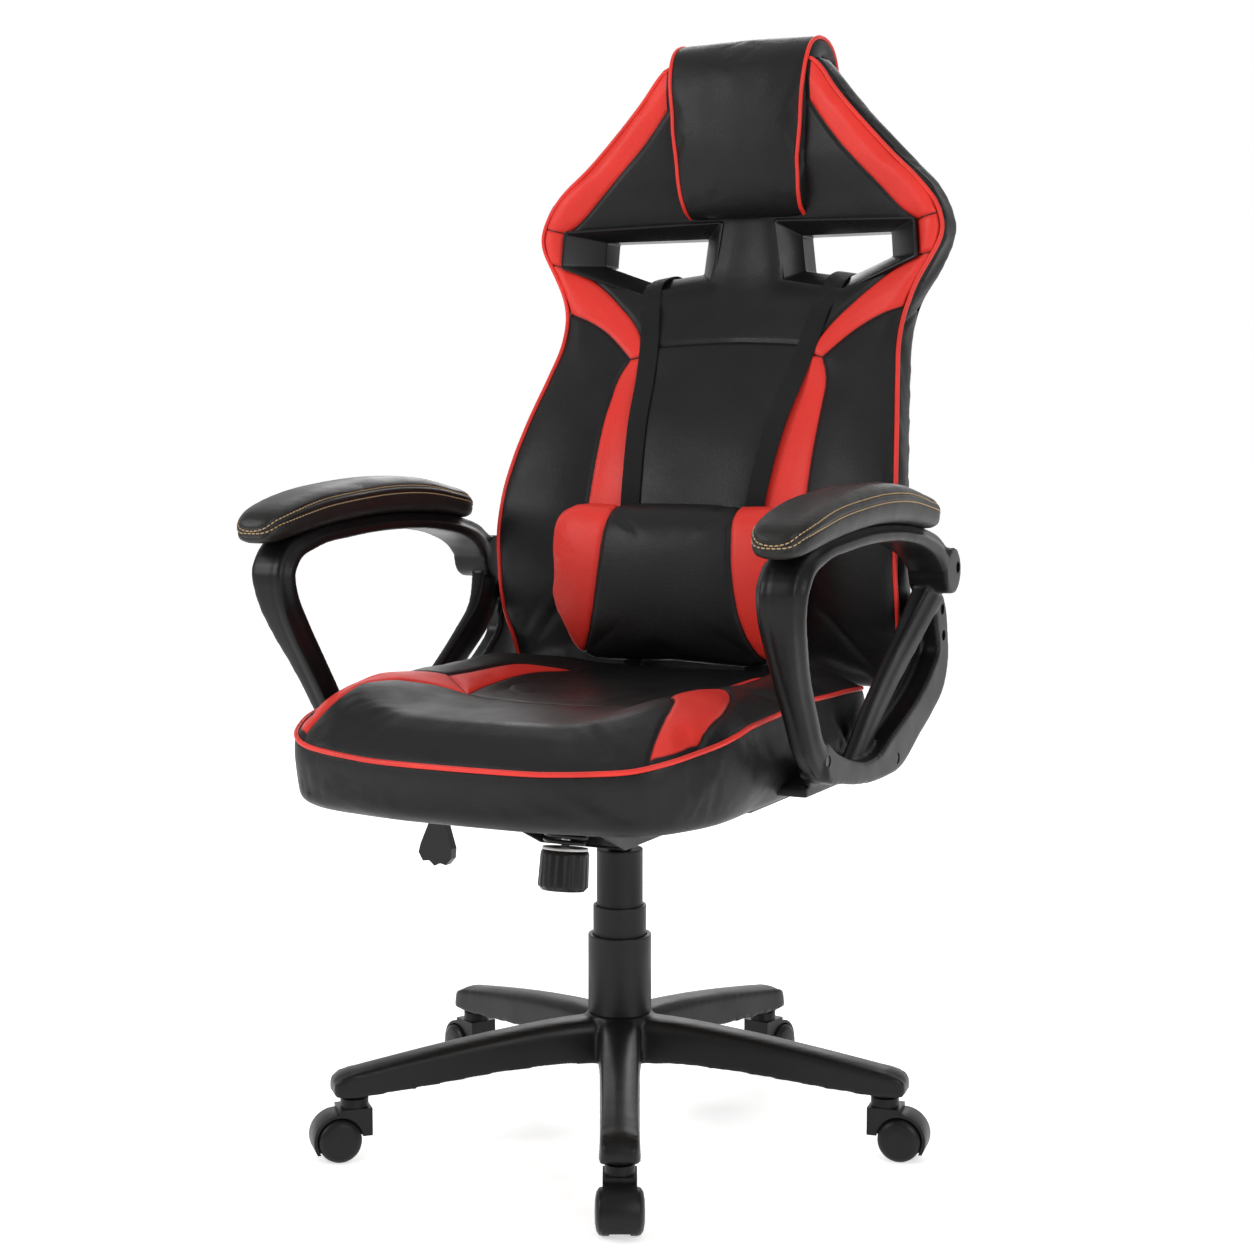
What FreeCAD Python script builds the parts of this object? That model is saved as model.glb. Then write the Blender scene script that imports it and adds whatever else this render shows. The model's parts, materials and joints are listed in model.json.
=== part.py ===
import FreeCAD, Part
import math
import os

# Gaming chair, in millimetres. Origin on the floor on the gas column's axis; +Z up, the sitter faces -Y,
# +X is the sitter's left. The star base is turned under the seat by BASE_YAW.

V = FreeCAD.Vector

# ---- driving dimensions ----
BASE_YAW = 26.5  # degrees from -Y towards +X of the first leg
LEGS = 5
STEM_CIRCLE = 320.0  # column axis to caster stem
WHEEL_R = 25.0
TRAIL = 20.0  # caster stem to wheel axle
HUB_TOP = 143.5
STAND_TUBE_R = 25.0
HOUSING_BOTTOM = 346.0
PIVOT_Y, PIVOT_Z = -58.0, 397.0
PAN_BOTTOM, PAN_THICK = 427.0, 10.0
SEAT_HALF, SEAT_FRONT, SEAT_REAR = 252.0, -385.0, 196.0
SEAT_EDGE_Z = 505.0
BACK_FOAM, BACK_PLY, BACK_REAR = 38.0, 12.0, 4.0  # layer thicknesses, front to rear
LAYER_GAP = 1.5
ARM_IN, ARM_OUT = 280.0, 337.0  # inner and outer planes of an armrest at the top bar
ARM_LOW_OUT = 314.0  # outer plane at the bottom rail
BACK_BOLTS = [(248.0, 583.0), (242.0, 615.0)]  # y, z of the bolts through the arm's rear flange
SIDE_SCREWS = [(-136.0, 484.0), (85.0, 456.0)]  # y, z of the screws in the rail's outer face
KNUCKLE_SCREW = (228.0, 667.0)
PAN_SCREWS = [(180.0, -95.0), (180.0, 60.0)]  # x, y of the bolts up into the seat pan
STRAP_W, STRAP_T = 26.0, 1.6
LEVER_Z, LEVER_R = 388.0, 4.0
VALVE_HOLE_R = 4.06

# Backrest, bottom to top: height, half width, front face at the edge, front face at the middle.
BACK = [
    (550, 268, 214, 222),
    (600, 275, 198, 210),
    (660, 273, 188, 203),
    (720, 271, 190, 206),
    (780, 264, 210, 224),
    (840, 254, 240, 252),
    (900, 243, 275, 299),
    (950, 237, 302, 335),
    (990, 244, 316, 361),
    (1030, 266, 322, 379),
    (1080, 284, 320, 384),
    (1120, 270, 320, 384),
    (1170, 222, 327, 384),
    (1230, 164, 332, 384),
    (1300, 106, 335, 384),
]
# One backrest opening, seen from the front: outer corners of its bezel (x, z), clockwise from the top inside.
BEZEL = [(40, 1097), (241, 1088), (245, 1045), (142, 1007), (51, 1022)]
# the same corners where its funnel has narrowed to the sleeve
BEZEL_THROAT = [(66.5, 1080), (200, 1077.5), (202.5, 1046.5), (140, 1023.7), (72.5, 1033.7)]
BEZEL_WALL, BEZEL_FUNNEL = 4.0, 26.0
BEZEL_SLOPE, BEZEL_FRONT = -0.25, 389.0  # the front plane is y = BEZEL_FRONT + BEZEL_SLOPE * x
BEZEL_DEPTH = 66.0


# ---- shape helpers ----
def box(x0, x1, y0, y1, z0, z1):
    return Part.makeBox(x1 - x0, y1 - y0, z1 - z0, V(x0, y0, z0))


def rod(start, end, radius):
    start, end = V(*start), V(*end)
    return Part.makeCylinder(radius, (end - start).Length, start, end - start)


def upright(radius, z0, z1, x=0.0, y=0.0):
    return rod((x, y, z0), (x, y, z1), radius)


def ring(r_out, r_in, z0, z1, x=0.0, y=0.0):
    return upright(r_out, z0, z1, x, y).cut(upright(r_in, z0 - 1, z1 + 1, x, y))


def polygon(points):
    return Part.makePolygon([V(*p) for p in points] + [V(*points[0])])


def smooth_prism_x(yz, x0, x1):
    """A solid with a smooth closed side outline."""
    return Part.Face(closed_spline([(x0, y, z) for y, z in yz])).extrude(V(x1 - x0, 0, 0))


def spline_edge(points):
    curve = Part.BSplineCurve()
    curve.interpolate([V(*p) for p in points])
    return curve.toShape()


def closed_spline(points):
    curve = Part.BSplineCurve()
    curve.interpolate(Points=[V(*p) for p in points], PeriodicFlag=True)
    return Part.Wire([curve.toShape()])


def loft(wires, ruled=False):
    return Part.makeLoft(wires, True, ruled)


def faceted(sections):
    """A solid skinned with triangles over sections that all have the same number of corners."""
    n = len(sections[0])
    corners = []
    for cap in (sections[0], sections[-1][::-1]):
        corners += [(cap[0], cap[k], cap[k + 1]) for k in range(1, n - 1)]
    for a, b in zip(sections, sections[1:]):
        for k in range(n):
            corners += [(a[k - 1], a[k], b[k]), (a[k - 1], b[k], b[k - 1])]
    solid = Part.Solid(Part.Shell([Part.Face(polygon(c)) for c in corners]))
    return solid if solid.Volume > 0 else solid.reversed()


def prism(points, direction):
    return Part.Face(polygon(points)).extrude(V(*direction))


def prism_x(yz, x0, x1):
    return prism([(x0, y, z) for y, z in yz], (x1 - x0, 0, 0))


def prism_y(xz, y0, y1):
    return prism([(x, y0, z) for x, z in xz], (0, y1 - y0, 0))


def revolve_z(rz, x=0.0, y=0.0):
    face = Part.Face(polygon([(x + r, y, z) for r, z in rz]))
    return face.revolve(V(x, y, 0), V(0, 0, 1), 360)


def mirrored(shape):
    return shape.mirror(V(0, 0, 0), V(1, 0, 0))


def turned(shape, degrees, axis=(0, 0, 1), centre=(0, 0, 0)):
    moved = shape.copy()
    moved.rotate(V(*centre), V(*axis), degrees)
    return moved


def fused(shapes):
    whole = shapes[0].fuse(shapes[1:]) if len(shapes) > 1 else shapes[0]
    return whole.removeSplitter()


def inset(points, distance):
    """A convex outline of (a, b) points moved inwards by distance."""
    n = len(points)
    ca = sum(p[0] for p in points) / n
    cb = sum(p[1] for p in points) / n
    lines = []
    for i in range(n):
        (a0, b0), (a1, b1) = points[i], points[(i + 1) % n]
        na, nb = b1 - b0, a0 - a1
        size = math.hypot(na, nb)
        na, nb = na / size, nb / size
        if na * (ca - a0) + nb * (cb - b0) < 0:
            na, nb = -na, -nb
        lines.append((na, nb, na * a0 + nb * b0 + distance))
    corners = []
    for i in range(n):
        (p, q, r), (s, t, u) = lines[i - 1], lines[i]
        det = p * t - q * s
        corners.append(((r * t - q * u) / det, (p * u - r * s) / det))
    return corners


def save(name, *shapes):
    solids = [s for shape in shapes for s in shape.Solids]
    for s in solids:
        if not s.isValid() or s.Volume <= 0:
            print("INVALID", name)
    out = solids[0] if len(solids) == 1 else Part.makeCompound(solids)
    out.exportStep(os.path.join("parts", name + ".step"))
    print(name, len(solids), "solid(s)", round(sum(s.Volume for s in solids) / 1000.0, 1), "cm3")


# ---- star base and casters ----
def leg_section(r, half_width, z_low, z_high):
    """A cross-section of a leg at radius r: upright sides and a crowned, narrower top."""
    top = 0.66 * half_width
    shoulder = z_high - 0.3 * (z_high - z_low)
    points = [
        (-half_width, z_low),
        (half_width, z_low),
        (half_width, shoulder),
        (top, z_high - 2),
        (0, z_high),
        (-top, z_high - 2),
        (-half_width, shoulder),
    ]
    return polygon([(a, -r, z) for a, z in points])


def star_base():
    """Five hollow legs on a hub, with a socket for a caster stem at each tip."""
    stations = [
        (22, 26, 88, 142),
        (70, 24, 90, 140),
        (140, 23, 88, 133),
        (210, 22.5, 82, 124),
        (270, 22, 76, 114),
        (322, 22, 74, 105),
        (342, 20, 75, 98),
    ]
    leg = loft([leg_section(*s) for s in stations], ruled=True)
    skin = 3.5
    hollow = [(r, w - skin, low - 1, high - 2 * skin) for r, w, low, high in stations[1:5]]
    leg = leg.cut(loft([leg_section(*s) for s in hollow], ruled=True))
    boss = upright(13, 74, 100, 0, -STEM_CIRCLE)
    leg = leg.fuse(boss).cut(upright(5.6, 70, 96, 0, -STEM_CIRCLE))
    legs = [turned(leg, BASE_YAW + 360.0 / LEGS * i) for i in range(LEGS)]
    hub = upright(40, 86, HUB_TOP)
    return fused([hub] + legs).cut(upright(STAND_TUBE_R, 60, 200))


def at_leg(shape, i):
    """A shape built under the leg that points along -Y, moved under leg i."""
    return turned(shape, BASE_YAW + 360.0 / LEGS * i)


def caster_stem():
    shank = upright(5.5, 56, 94, 0, -STEM_CIRCLE)
    return shank.fuse(upright(8.5, 70.2, 73.8, 0, -STEM_CIRCLE))


AXLE_Y = -STEM_CIRCLE - TRAIL


def caster_hood():
    """The housing between and over the twin wheels, turning on the stem."""
    half_web, half_hood = 10.0, 18.0
    r_in, r_out = WHEEL_R + 1.5, WHEEL_R + 5.0
    drum = rod((-half_hood, AXLE_Y, WHEEL_R), (half_hood, AXLE_Y, WHEEL_R), r_out)
    block = box(-half_hood, half_hood, AXLE_Y, -STEM_CIRCLE + 17.5, 28, 60)
    neck = upright(16, 58, 70, 0, -STEM_CIRCLE)
    room = rod((half_web, AXLE_Y, WHEEL_R), (30, AXLE_Y, WHEEL_R), r_in)
    body = drum.fuse([block, neck]).cut([room, mirrored(room)])
    floor_cut = box(-30, 30, AXLE_Y - 40, AXLE_Y + 60, -10, 10)
    front_cut = box(-30, 30, AXLE_Y + 4, -STEM_CIRCLE + 30, -10, 28)
    socket = upright(5.56, 50, 80, 0, -STEM_CIRCLE)
    axle_hole = rod((-30, AXLE_Y, WHEEL_R), (30, AXLE_Y, WHEEL_R), 3.0)
    return body.cut([floor_cut, front_cut, socket, axle_hole])


def caster_axle():
    return rod((-21, AXLE_Y, WHEEL_R), (21, AXLE_Y, WHEEL_R), 3.0)


def caster_wheel(side):
    """One domed wheel, its bore running on the axle."""
    profile = [
        (3.06, 10.7),
        (24.0, 10.7),
        (25.0, 11.7),
        (25.0, 17.5),
        (24.0, 21.5),
        (20.0, 24.5),
        (12.0, 26.0),
        (0.0, 26.4),
        (0.0, 21.4),
        (3.06, 21.4),
    ]
    face = Part.Face(polygon([(a * side, AXLE_Y, WHEEL_R + r) for r, a in profile]))
    return face.revolve(V(0, AXLE_Y, WHEEL_R), V(1, 0, 0), 360)


def make_base():
    save("star_base", star_base())
    save("caster_stems", *[at_leg(caster_stem(), i) for i in range(LEGS)])
    for i in range(LEGS):
        save("caster_%d_hood" % (i + 1), at_leg(caster_hood(), i))
        save("caster_%d_axle" % (i + 1), at_leg(caster_axle(), i))
        save("caster_%d_wheel_a" % (i + 1), at_leg(caster_wheel(1), i))
        save("caster_%d_wheel_b" % (i + 1), at_leg(caster_wheel(-1), i))


# ---- gas column and its telescopic cover ----
def make_column():
    tube_bottom, tube_top = 72.0, 250.0
    cylinder_r, rod_r = 14.0, 4.0
    bearing_top = 82.0
    stand = upright(STAND_TUBE_R, tube_bottom, tube_top)
    stand = stand.cut(upright(23.2, tube_bottom + 3, tube_top - 40))
    stand = stand.cut(upright(cylinder_r + 0.06, tube_top - 41, tube_top + 1))
    save("stand_tube", stand.cut(upright(rod_r + 0.06, tube_bottom - 1, tube_bottom + 4)))
    save("thrust_bearing", ring(16, rod_r + 0.06, tube_bottom + 3, bearing_top - 0.3))

    piston = upright(10.9, 240, 248)
    clip = ring(9, rod_r, tube_bottom - 4, tube_bottom - 0.3)
    collar = ring(12, rod_r, bearing_top, bearing_top + 4)
    save("piston_rod", upright(rod_r, tube_bottom - 5, 241).fuse([piston, clip, collar]))

    barrel = upright(cylinder_r, 148, HOUSING_BOTTOM - 1)
    bore = upright(11.0, 154, 330)
    gland = upright(rod_r + 0.06, 140, 160)
    valve_hole = upright(VALVE_HOLE_R, 329, 400)
    save("gas_cylinder", barrel.fuse(column_taper()).cut([bore, gland, valve_hole]))
    save("valve_button", upright(4.0, 336, LEVER_Z - LEVER_R - 0.3))

    # lower, middle and upper sleeve: outer radius, bottom, top, wall, flange radius
    lower = ring(37.4, 35.4, HUB_TOP + 0.2, 236.8).fuse(ring(37.4, 32.0, 234.3, 236.8))
    middle = ring(31.4, 29.8, 182, 271.8).fuse(ring(31.4, 27.8, 269.6, 271.8))
    middle = middle.fuse(ring(35.0, 29.8, 182, 185))
    upper = ring(27.3, 25.7, 226, 339.0).fuse(ring(27.3, cylinder_r + 0.05, 336.6, 339.0))
    upper = upper.fuse(ring(29.4, 25.7, 226, 229))
    save("shroud_lower", lower)
    save("shroud_middle", middle)
    save("shroud_upper", upper)


# ---- tilt mechanism ----
KNOB_TILT = 8.0  # degrees that the tension bolt leans, its lower end forwards
BOLT_TOP = (0.0, -128.0, PAN_BOTTOM)
WASHER_AT, WASHER_THICK = 63.0, 3.0  # distances down the bolt
KNOB_AT, KNOB_TALL, KNOB_R = 66.5, 45.0, 28.5
PLATE = 3.0
SEAT_BOLTS = [(x, y) for x in (-75, 75) for y in (-140, 95)]


def along_bolt(distance):
    """A point that far down the tension bolt's axis from its head."""
    a = math.radians(KNOB_TILT)
    x, y, z = BOLT_TOP
    return (x, y - distance * math.sin(a), z - distance * math.cos(a))


def leaning(shape):
    """A shape built upright with its top at the origin, hung from the bolt's head."""
    moved = turned(shape, -KNOB_TILT, (1, 0, 0))
    moved.translate(V(*BOLT_TOP))
    return moved


def spring(r, wire_r, top, length, turns):
    """A compression spring's coil, hanging down from top."""
    per_turn, corners = 18, 6
    around = [2 * math.pi * k / corners for k in range(corners)]
    wire = [(r + wire_r * math.cos(b), wire_r * math.sin(b)) for b in around]
    sections = []
    for i in range(int(turns * per_turn) + 1):
        a = 2 * math.pi * i / per_turn
        z = top - length * i / (turns * per_turn)
        sections.append([(far * math.cos(a), far * math.sin(a), z + rise) for far, rise in wire])
    return faceted(sections)


def column_taper():
    """The cone at the top of the gas cylinder."""
    return Part.makeCone(14.0, 13.2, 24, V(0, 0, HOUSING_BOTTOM - 1))


def make_housing():
    half = 52.0
    floor_z, shelf_z, top_z = 358.0, 396.0, 405.0
    side = [(70, floor_z), (70, 386), (20, top_z), (-172, top_z), (-172, shelf_z - 4), (-96, floor_z)]
    cheek = prism_x(side, half, half + PLATE)
    floor_plate = box(-half - 1, half + 1, -96, 70, floor_z, floor_z + PLATE)
    shelf = box(-half - 1, half + 1, -172, -88, shelf_z, shelf_z + PLATE)
    socket = upright(21, HOUSING_BOTTOM, 370)
    housing = fused([cheek, mirrored(cheek), floor_plate, shelf, socket])
    bolt_slot = box(-9, 9, -152, -122, 390, 410)
    pin_hole = rod((-80, PIVOT_Y, PIVOT_Z), (80, PIVOT_Y, PIVOT_Z), 6.0)
    lever_slot = box(-60, -45, -8, 8, LEVER_Z - 7, LEVER_Z + 7)
    valve_hole = upright(VALVE_HOLE_R, 360, 400)
    save("mechanism_housing", housing.cut([column_taper(), valve_hole, bolt_slot, pin_hole, lever_slot]))
    save("tilt_pivot_pin", rod((-66, PIVOT_Y, PIVOT_Z), (66, PIVOT_Y, PIVOT_Z), 6.0))


def make_seat_plate():
    """The plate under the seat: flat, with two ears that turn on the pivot pin."""
    low = PAN_BOTTOM - PLATE
    flat = box(-88, 88, -155, 110, low, PAN_BOTTOM)
    ear = prism_x([(PIVOT_Y - 26, low + 1), (PIVOT_Y + 26, low + 1),
                   (PIVOT_Y + 12, PIVOT_Z - 12), (PIVOT_Y - 12, PIVOT_Z - 12)], 58, 61)
    pin_run = rod((-80, PIVOT_Y, PIVOT_Z), (80, PIVOT_Y, PIVOT_Z), 6.06)
    bolt_hole = rod(along_bolt(-12), along_bolt(12), 4.9)
    holes = [upright(4.0, 400, 440, x, y) for x, y in SEAT_BOLTS]
    save("seat_plate", fused([flat, ear, mirrored(ear)]).cut([pin_run, bolt_hole] + holes))
    shanks = [upright(4.0, low, PAN_BOTTOM + PAN_THICK, x, y) for x, y in SEAT_BOLTS]
    heads = [upright(8.0, low - 5, low, x, y) for x, y in SEAT_BOLTS]
    save("seat_bolts", *[a.fuse(b) for a, b in zip(shanks, heads)])


def make_tension():
    """Bolt, spring, washer and fluted knob, top to bottom along the leaning axis."""
    head = rod(along_bolt(-5), along_bolt(0), 9.0).common(box(-20, 20, -200, 0, PAN_BOTTOM, 500))
    save("tension_bolt", rod(along_bolt(-2), along_bolt(104), 4.9).fuse(head))
    save("tension_spring", leaning(spring(23.0, 2.6, -37.5, 20.0, 3.0)))
    save("tension_washer", leaning(ring(26, 4.96, -WASHER_AT - WASHER_THICK, -WASHER_AT)))
    low, rim = -KNOB_AT - KNOB_TALL, KNOB_R - 1.5
    knob = revolve_z([(0, -KNOB_AT), (rim - 1, -KNOB_AT), (KNOB_R - 1, -KNOB_AT - 3),
                      (KNOB_R, low + 5), (rim - 3, low), (0, low)])
    reach = KNOB_R + 0.9
    flutes = [
        upright(2.6, low - 1, -KNOB_AT - 5, reach * math.cos(a), reach * math.sin(a))
        for a in (math.radians(20 * k) for k in range(18))
    ]
    save("tension_knob", leaning(knob.cut(flutes).cut(upright(4.96, -105, 0))))


def make_lever():
    """The seat lever, its rod's bent outer end and paddle, and the tilt lock's plate."""
    window = box(-60, -20, -7, 7, LEVER_Z - 7, LEVER_Z + 7)
    save("lock_plate", box(-40, -36, -34, 34, 371, 400).cut(window))
    elbow, tip = (-150, 0, LEVER_Z), (-206, -62, 362)
    inner = rod((16, 0, LEVER_Z), elbow, LEVER_R)
    knee = Part.makeSphere(LEVER_R, V(*elbow))
    save("lever_rod", inner.fuse([rod(elbow, tip, LEVER_R), knee]))
    flared = [(-196, 366), (-216, 367), (-229, 338), (-232, 327), (-226, 317), (-217, 318),
              (-210, 312), (-203, 316), (-194, 314), (-187, 322), (-186, 334)]
    paddle = prism_y(flared, -75, -63)
    save("lever_paddle", paddle.cut(rod(elbow, tip, LEVER_R)))


# ---- seat ----
def seat_outline(z, shrink, dip=0.0):
    """The seat's plan at a height, moved inwards; dip lowers the front edge, as the cover does there."""
    half, front, rear = SEAT_HALF - shrink, SEAT_FRONT + shrink, SEAT_REAR - shrink
    points = [
        (0, front),
        (0.5 * half, front + 8),
        (0.83 * half, front + 32),
        (0.97 * half, front + 95),
        (half, front + 220),
        (0.995 * half, rear - 160),
        (0.96 * half, rear - 45),
        (0.80 * half, rear - 8),
        (0.4 * half, rear),
    ]
    points += [(0, rear)] + [(-x, y) for x, y in points[:0:-1]]
    drop = [dip * max(0.0, (front + 110 - y) / 110.0) for _, y in points]
    return closed_spline([(x, y, z - d) for (x, y), d in zip(points, drop)])


def make_seat():
    pan_top = PAN_BOTTOM + PAN_THICK
    pan = box(-205, 205, -320, 160, PAN_BOTTOM, pan_top)
    holes = [upright(4.0, 400, 460, x, y) for x, y in SEAT_BOLTS]
    holes += [upright(3.0, 400, 460, side * x, y) for side in (-1, 1) for x, y in PAN_SCREWS]
    holes.append(rod(along_bolt(-40), along_bolt(12), 14.0))
    save("seat_pan", pan.cut(holes))
    base = pan_top + LAYER_GAP
    save("seat_cushion", loft([
        seat_outline(base, 14),
        seat_outline(base + 14, 3),
        seat_outline(base + 40, 0),
        seat_outline(SEAT_EDGE_Z + 4, 2, 8),
        seat_outline(SEAT_EDGE_Z + 24, 22, 6),
        seat_outline(SEAT_EDGE_Z + 34, 50),
    ]))


# ---- backrest ----
def back_wire(row, near, far, narrower):
    """One level section of the backrest, from near to far behind its front face."""
    z, half, edge, middle = row
    steps = (-1.0, -0.72, -0.4, 0.0, 0.4, 0.72, 1.0)

    def face_line(offset):
        full = half
        half_in = half - narrower
        return [
            (t * half_in, edge + (middle - edge) * (1 - abs(t * half_in / full) ** 1.5) + offset, z)
            for t in steps
        ]

    front, rear = face_line(near), face_line(far)[::-1]
    return Part.Wire([
        spline_edge(front),
        Part.makeLine(V(*front[-1]), V(*rear[0])),
        spline_edge(rear),
        Part.makeLine(V(*rear[-1]), V(*front[0])),
    ])


def back_layer(near, far, narrower, trim):
    """One layer of the backrest with both openings; trim is taken off its bottom and top ends."""
    layer = loft([back_wire(row, near, far, narrower) for row in BACK])
    layer = layer.common(box(-400, 400, 100, 600, BACK[0][0] + trim, BACK[-1][0] - trim))
    window = prism_y(inset(BEZEL, -0.4), 280, 500)
    return layer.cut([window, mirrored(window)])


def bezel_front():
    """A frame that lines the opening: a thin lip, a funnel that narrows inwards, then a straight throat."""
    body = prism_y(BEZEL, 300, 460)
    throat = BEZEL_THROAT
    mouth = inset(BEZEL, BEZEL_WALL)

    def sloped(outline, depth):
        return polygon([(x, BEZEL_FRONT + BEZEL_SLOPE * x + depth, z) for x, z in outline])

    outside = inset(BEZEL, BEZEL_WALL - 2)
    funnel = loft([sloped(outside, -4), sloped(mouth, 0), sloped(throat, BEZEL_FUNNEL)], True)
    hole = prism_y(throat, 280, 500)
    y0, y1 = BEZEL_FRONT, BEZEL_FRONT + 300 * BEZEL_SLOPE
    y2, y3 = y1 + BEZEL_DEPTH, y0 + BEZEL_DEPTH
    keep = prism([(0, y0, 900), (300, y1, 900), (300, y2, 900), (0, y3, 900)], (0, 0, 300))
    return body.common(keep).cut([funnel, hole])


def bezel_rear():
    """The snap-on rim behind the backrest."""
    rim = prism_y(inset(BEZEL, -7), 380, 470)
    hole = prism_y(BEZEL_THROAT, 280, 500)
    y0, y1 = BEZEL_FRONT + BEZEL_DEPTH + 0.3, BEZEL_FRONT + BEZEL_DEPTH + 300 * BEZEL_SLOPE + 0.3
    slab = prism([(0, y0, 900), (300, y1, 900), (300, y1 + 4, 900), (0, y0 + 4, 900)], (0, 0, 300))
    return rim.common(slab).cut(hole)


def back_layers():
    """Front foam, board and rear cover."""
    ply_at = BACK_FOAM + LAYER_GAP
    rear_at = ply_at + BACK_PLY + LAYER_GAP
    board = back_layer(ply_at, ply_at + BACK_PLY, 14, 6)
    holes = [rod((side * 240, y, z), (side * 300, y, z), 3.0) for side in (-1, 1) for y, z in BACK_BOLTS]
    return back_layer(0, BACK_FOAM, 0, 0), board.cut(holes), back_layer(rear_at, rear_at + BACK_REAR, 3, 0)


def head_pillow():
    """A saddle over the backrest's top edge, thick in front and thin behind, nested between the wings."""
    side = [
        (460, 1215), (458, 1285), (444, 1311), (415, 1329), (372, 1331), (343, 1316), (329, 1285),
        (326, 1230), (330, 1170), (344, 1122), (372, 1100), (400, 1100),
    ]
    taper = prism_y([(86, 1090), (102, 1320), (102, 1340), (150, 1340), (150, 1090)], 300, 500)
    below = box(-150, 150, 400, 500, 1090, 1215)
    return prism_x(side, -102, 102).cut([taper, mirrored(taper), below])


def lumbar_pillow():
    """A fat roll across the small of the back."""
    def roll(x, size):
        return closed_spline([
            (x, 149 + 43 * size * math.cos(t), 646 + 99 * size * math.sin(t))
            for t in (math.radians(30 * k) for k in range(12))
        ])

    return loft([roll(-172, 0.55), roll(-160, 0.86), roll(-120, 1.0), roll(0, 1.03),
                 roll(120, 1.0), roll(160, 0.86), roll(172, 0.55)])


def make_back():
    cushion, board, cover = back_layers()
    save("back_cushion", cushion)
    save("back_board", board)
    save("back_rear_cover", cover)
    front, rear = bezel_front(), bezel_rear()
    save("bezel_left", front)
    save("bezel_right", mirrored(front))
    save("bezel_rear_rims", rear, mirrored(rear))
    solid_back = [back_layer(-LAYER_GAP, BACK_FOAM + BACK_PLY + BACK_REAR + 3 * LAYER_GAP, -3, -0.1)]
    save("head_pillow", head_pillow().cut(solid_back))
    save("lumbar_pillow", lumbar_pillow())


def strap(side):
    """A flat band from the pillow, up through the opening, down the rear and under to the pillow again."""
    route = [
        (84, 190, 700), (86, 198, 748), (89, 215, 780), (96, 244, 840), (105, 283, 900), (113, 316, 950),
        (119, 339, 990), (124, 348, 1006), (126, 350, 1017), (127, 361, 1021.5), (128, 386, 1030.4),
        (128, 427, 1030.4), (128, 436, 1024), (127, 435, 996), (84, 290, 560), (84, 285, 546), (84, 276, 543),
        (84, 215, 543), (84, 203, 556),
    ]
    slant = -0.165  # the opening's lower edge falls outwards
    sections = []
    for i, (x, y, z) in enumerate(route):
        before, after = route[max(i - 1, 0)], route[min(i + 1, len(route) - 1)]
        dy, dz = after[1] - before[1], after[2] - before[2]
        size = math.hypot(dy, dz)
        ny, nz = -dz / size * STRAP_T / 2, dy / size * STRAP_T / 2
        half = STRAP_W / 2
        fall = slant * half if z > 1010 else 0.0
        sections.append([
            ((x - half) * side, y + ny, z + nz - fall), ((x + half) * side, y + ny, z + nz + fall),
            ((x + half) * side, y - ny, z - nz + fall), ((x - half) * side, y - ny, z - nz - fall),
        ])
    return faceted(sections)


# ---- armrests ----
def band(stations):
    """A bar through (y, z, thickness, inner x, outer x) stations, thick across its own path."""
    sections = []
    for i, (y, z, thick, x0, x1) in enumerate(stations):
        before, after = stations[max(i - 1, 0)], stations[min(i + 1, len(stations) - 1)]
        dy, dz = after[0] - before[0], after[1] - before[1]
        size = math.hypot(dy, dz)
        ny, nz = -dz / size * thick / 2, dy / size * thick / 2
        cut = min(5.0, thick / 4)
        ty, tz = ny * (1 - 2 * cut / thick), nz * (1 - 2 * cut / thick)
        sections.append(polygon([
            (x0 + cut, y + ny, z + nz),
            (x1 - cut, y + ny, z + nz),
            (x1, y + ty, z + tz),
            (x1, y - ty, z - tz),
            (x1 - cut, y - ny, z - nz),
            (x0 + cut, y - ny, z - nz),
            (x0, y - ty, z - tz),
            (x0, y + ty, z + tz),
        ]))
    return loft(sections, True)


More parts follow.
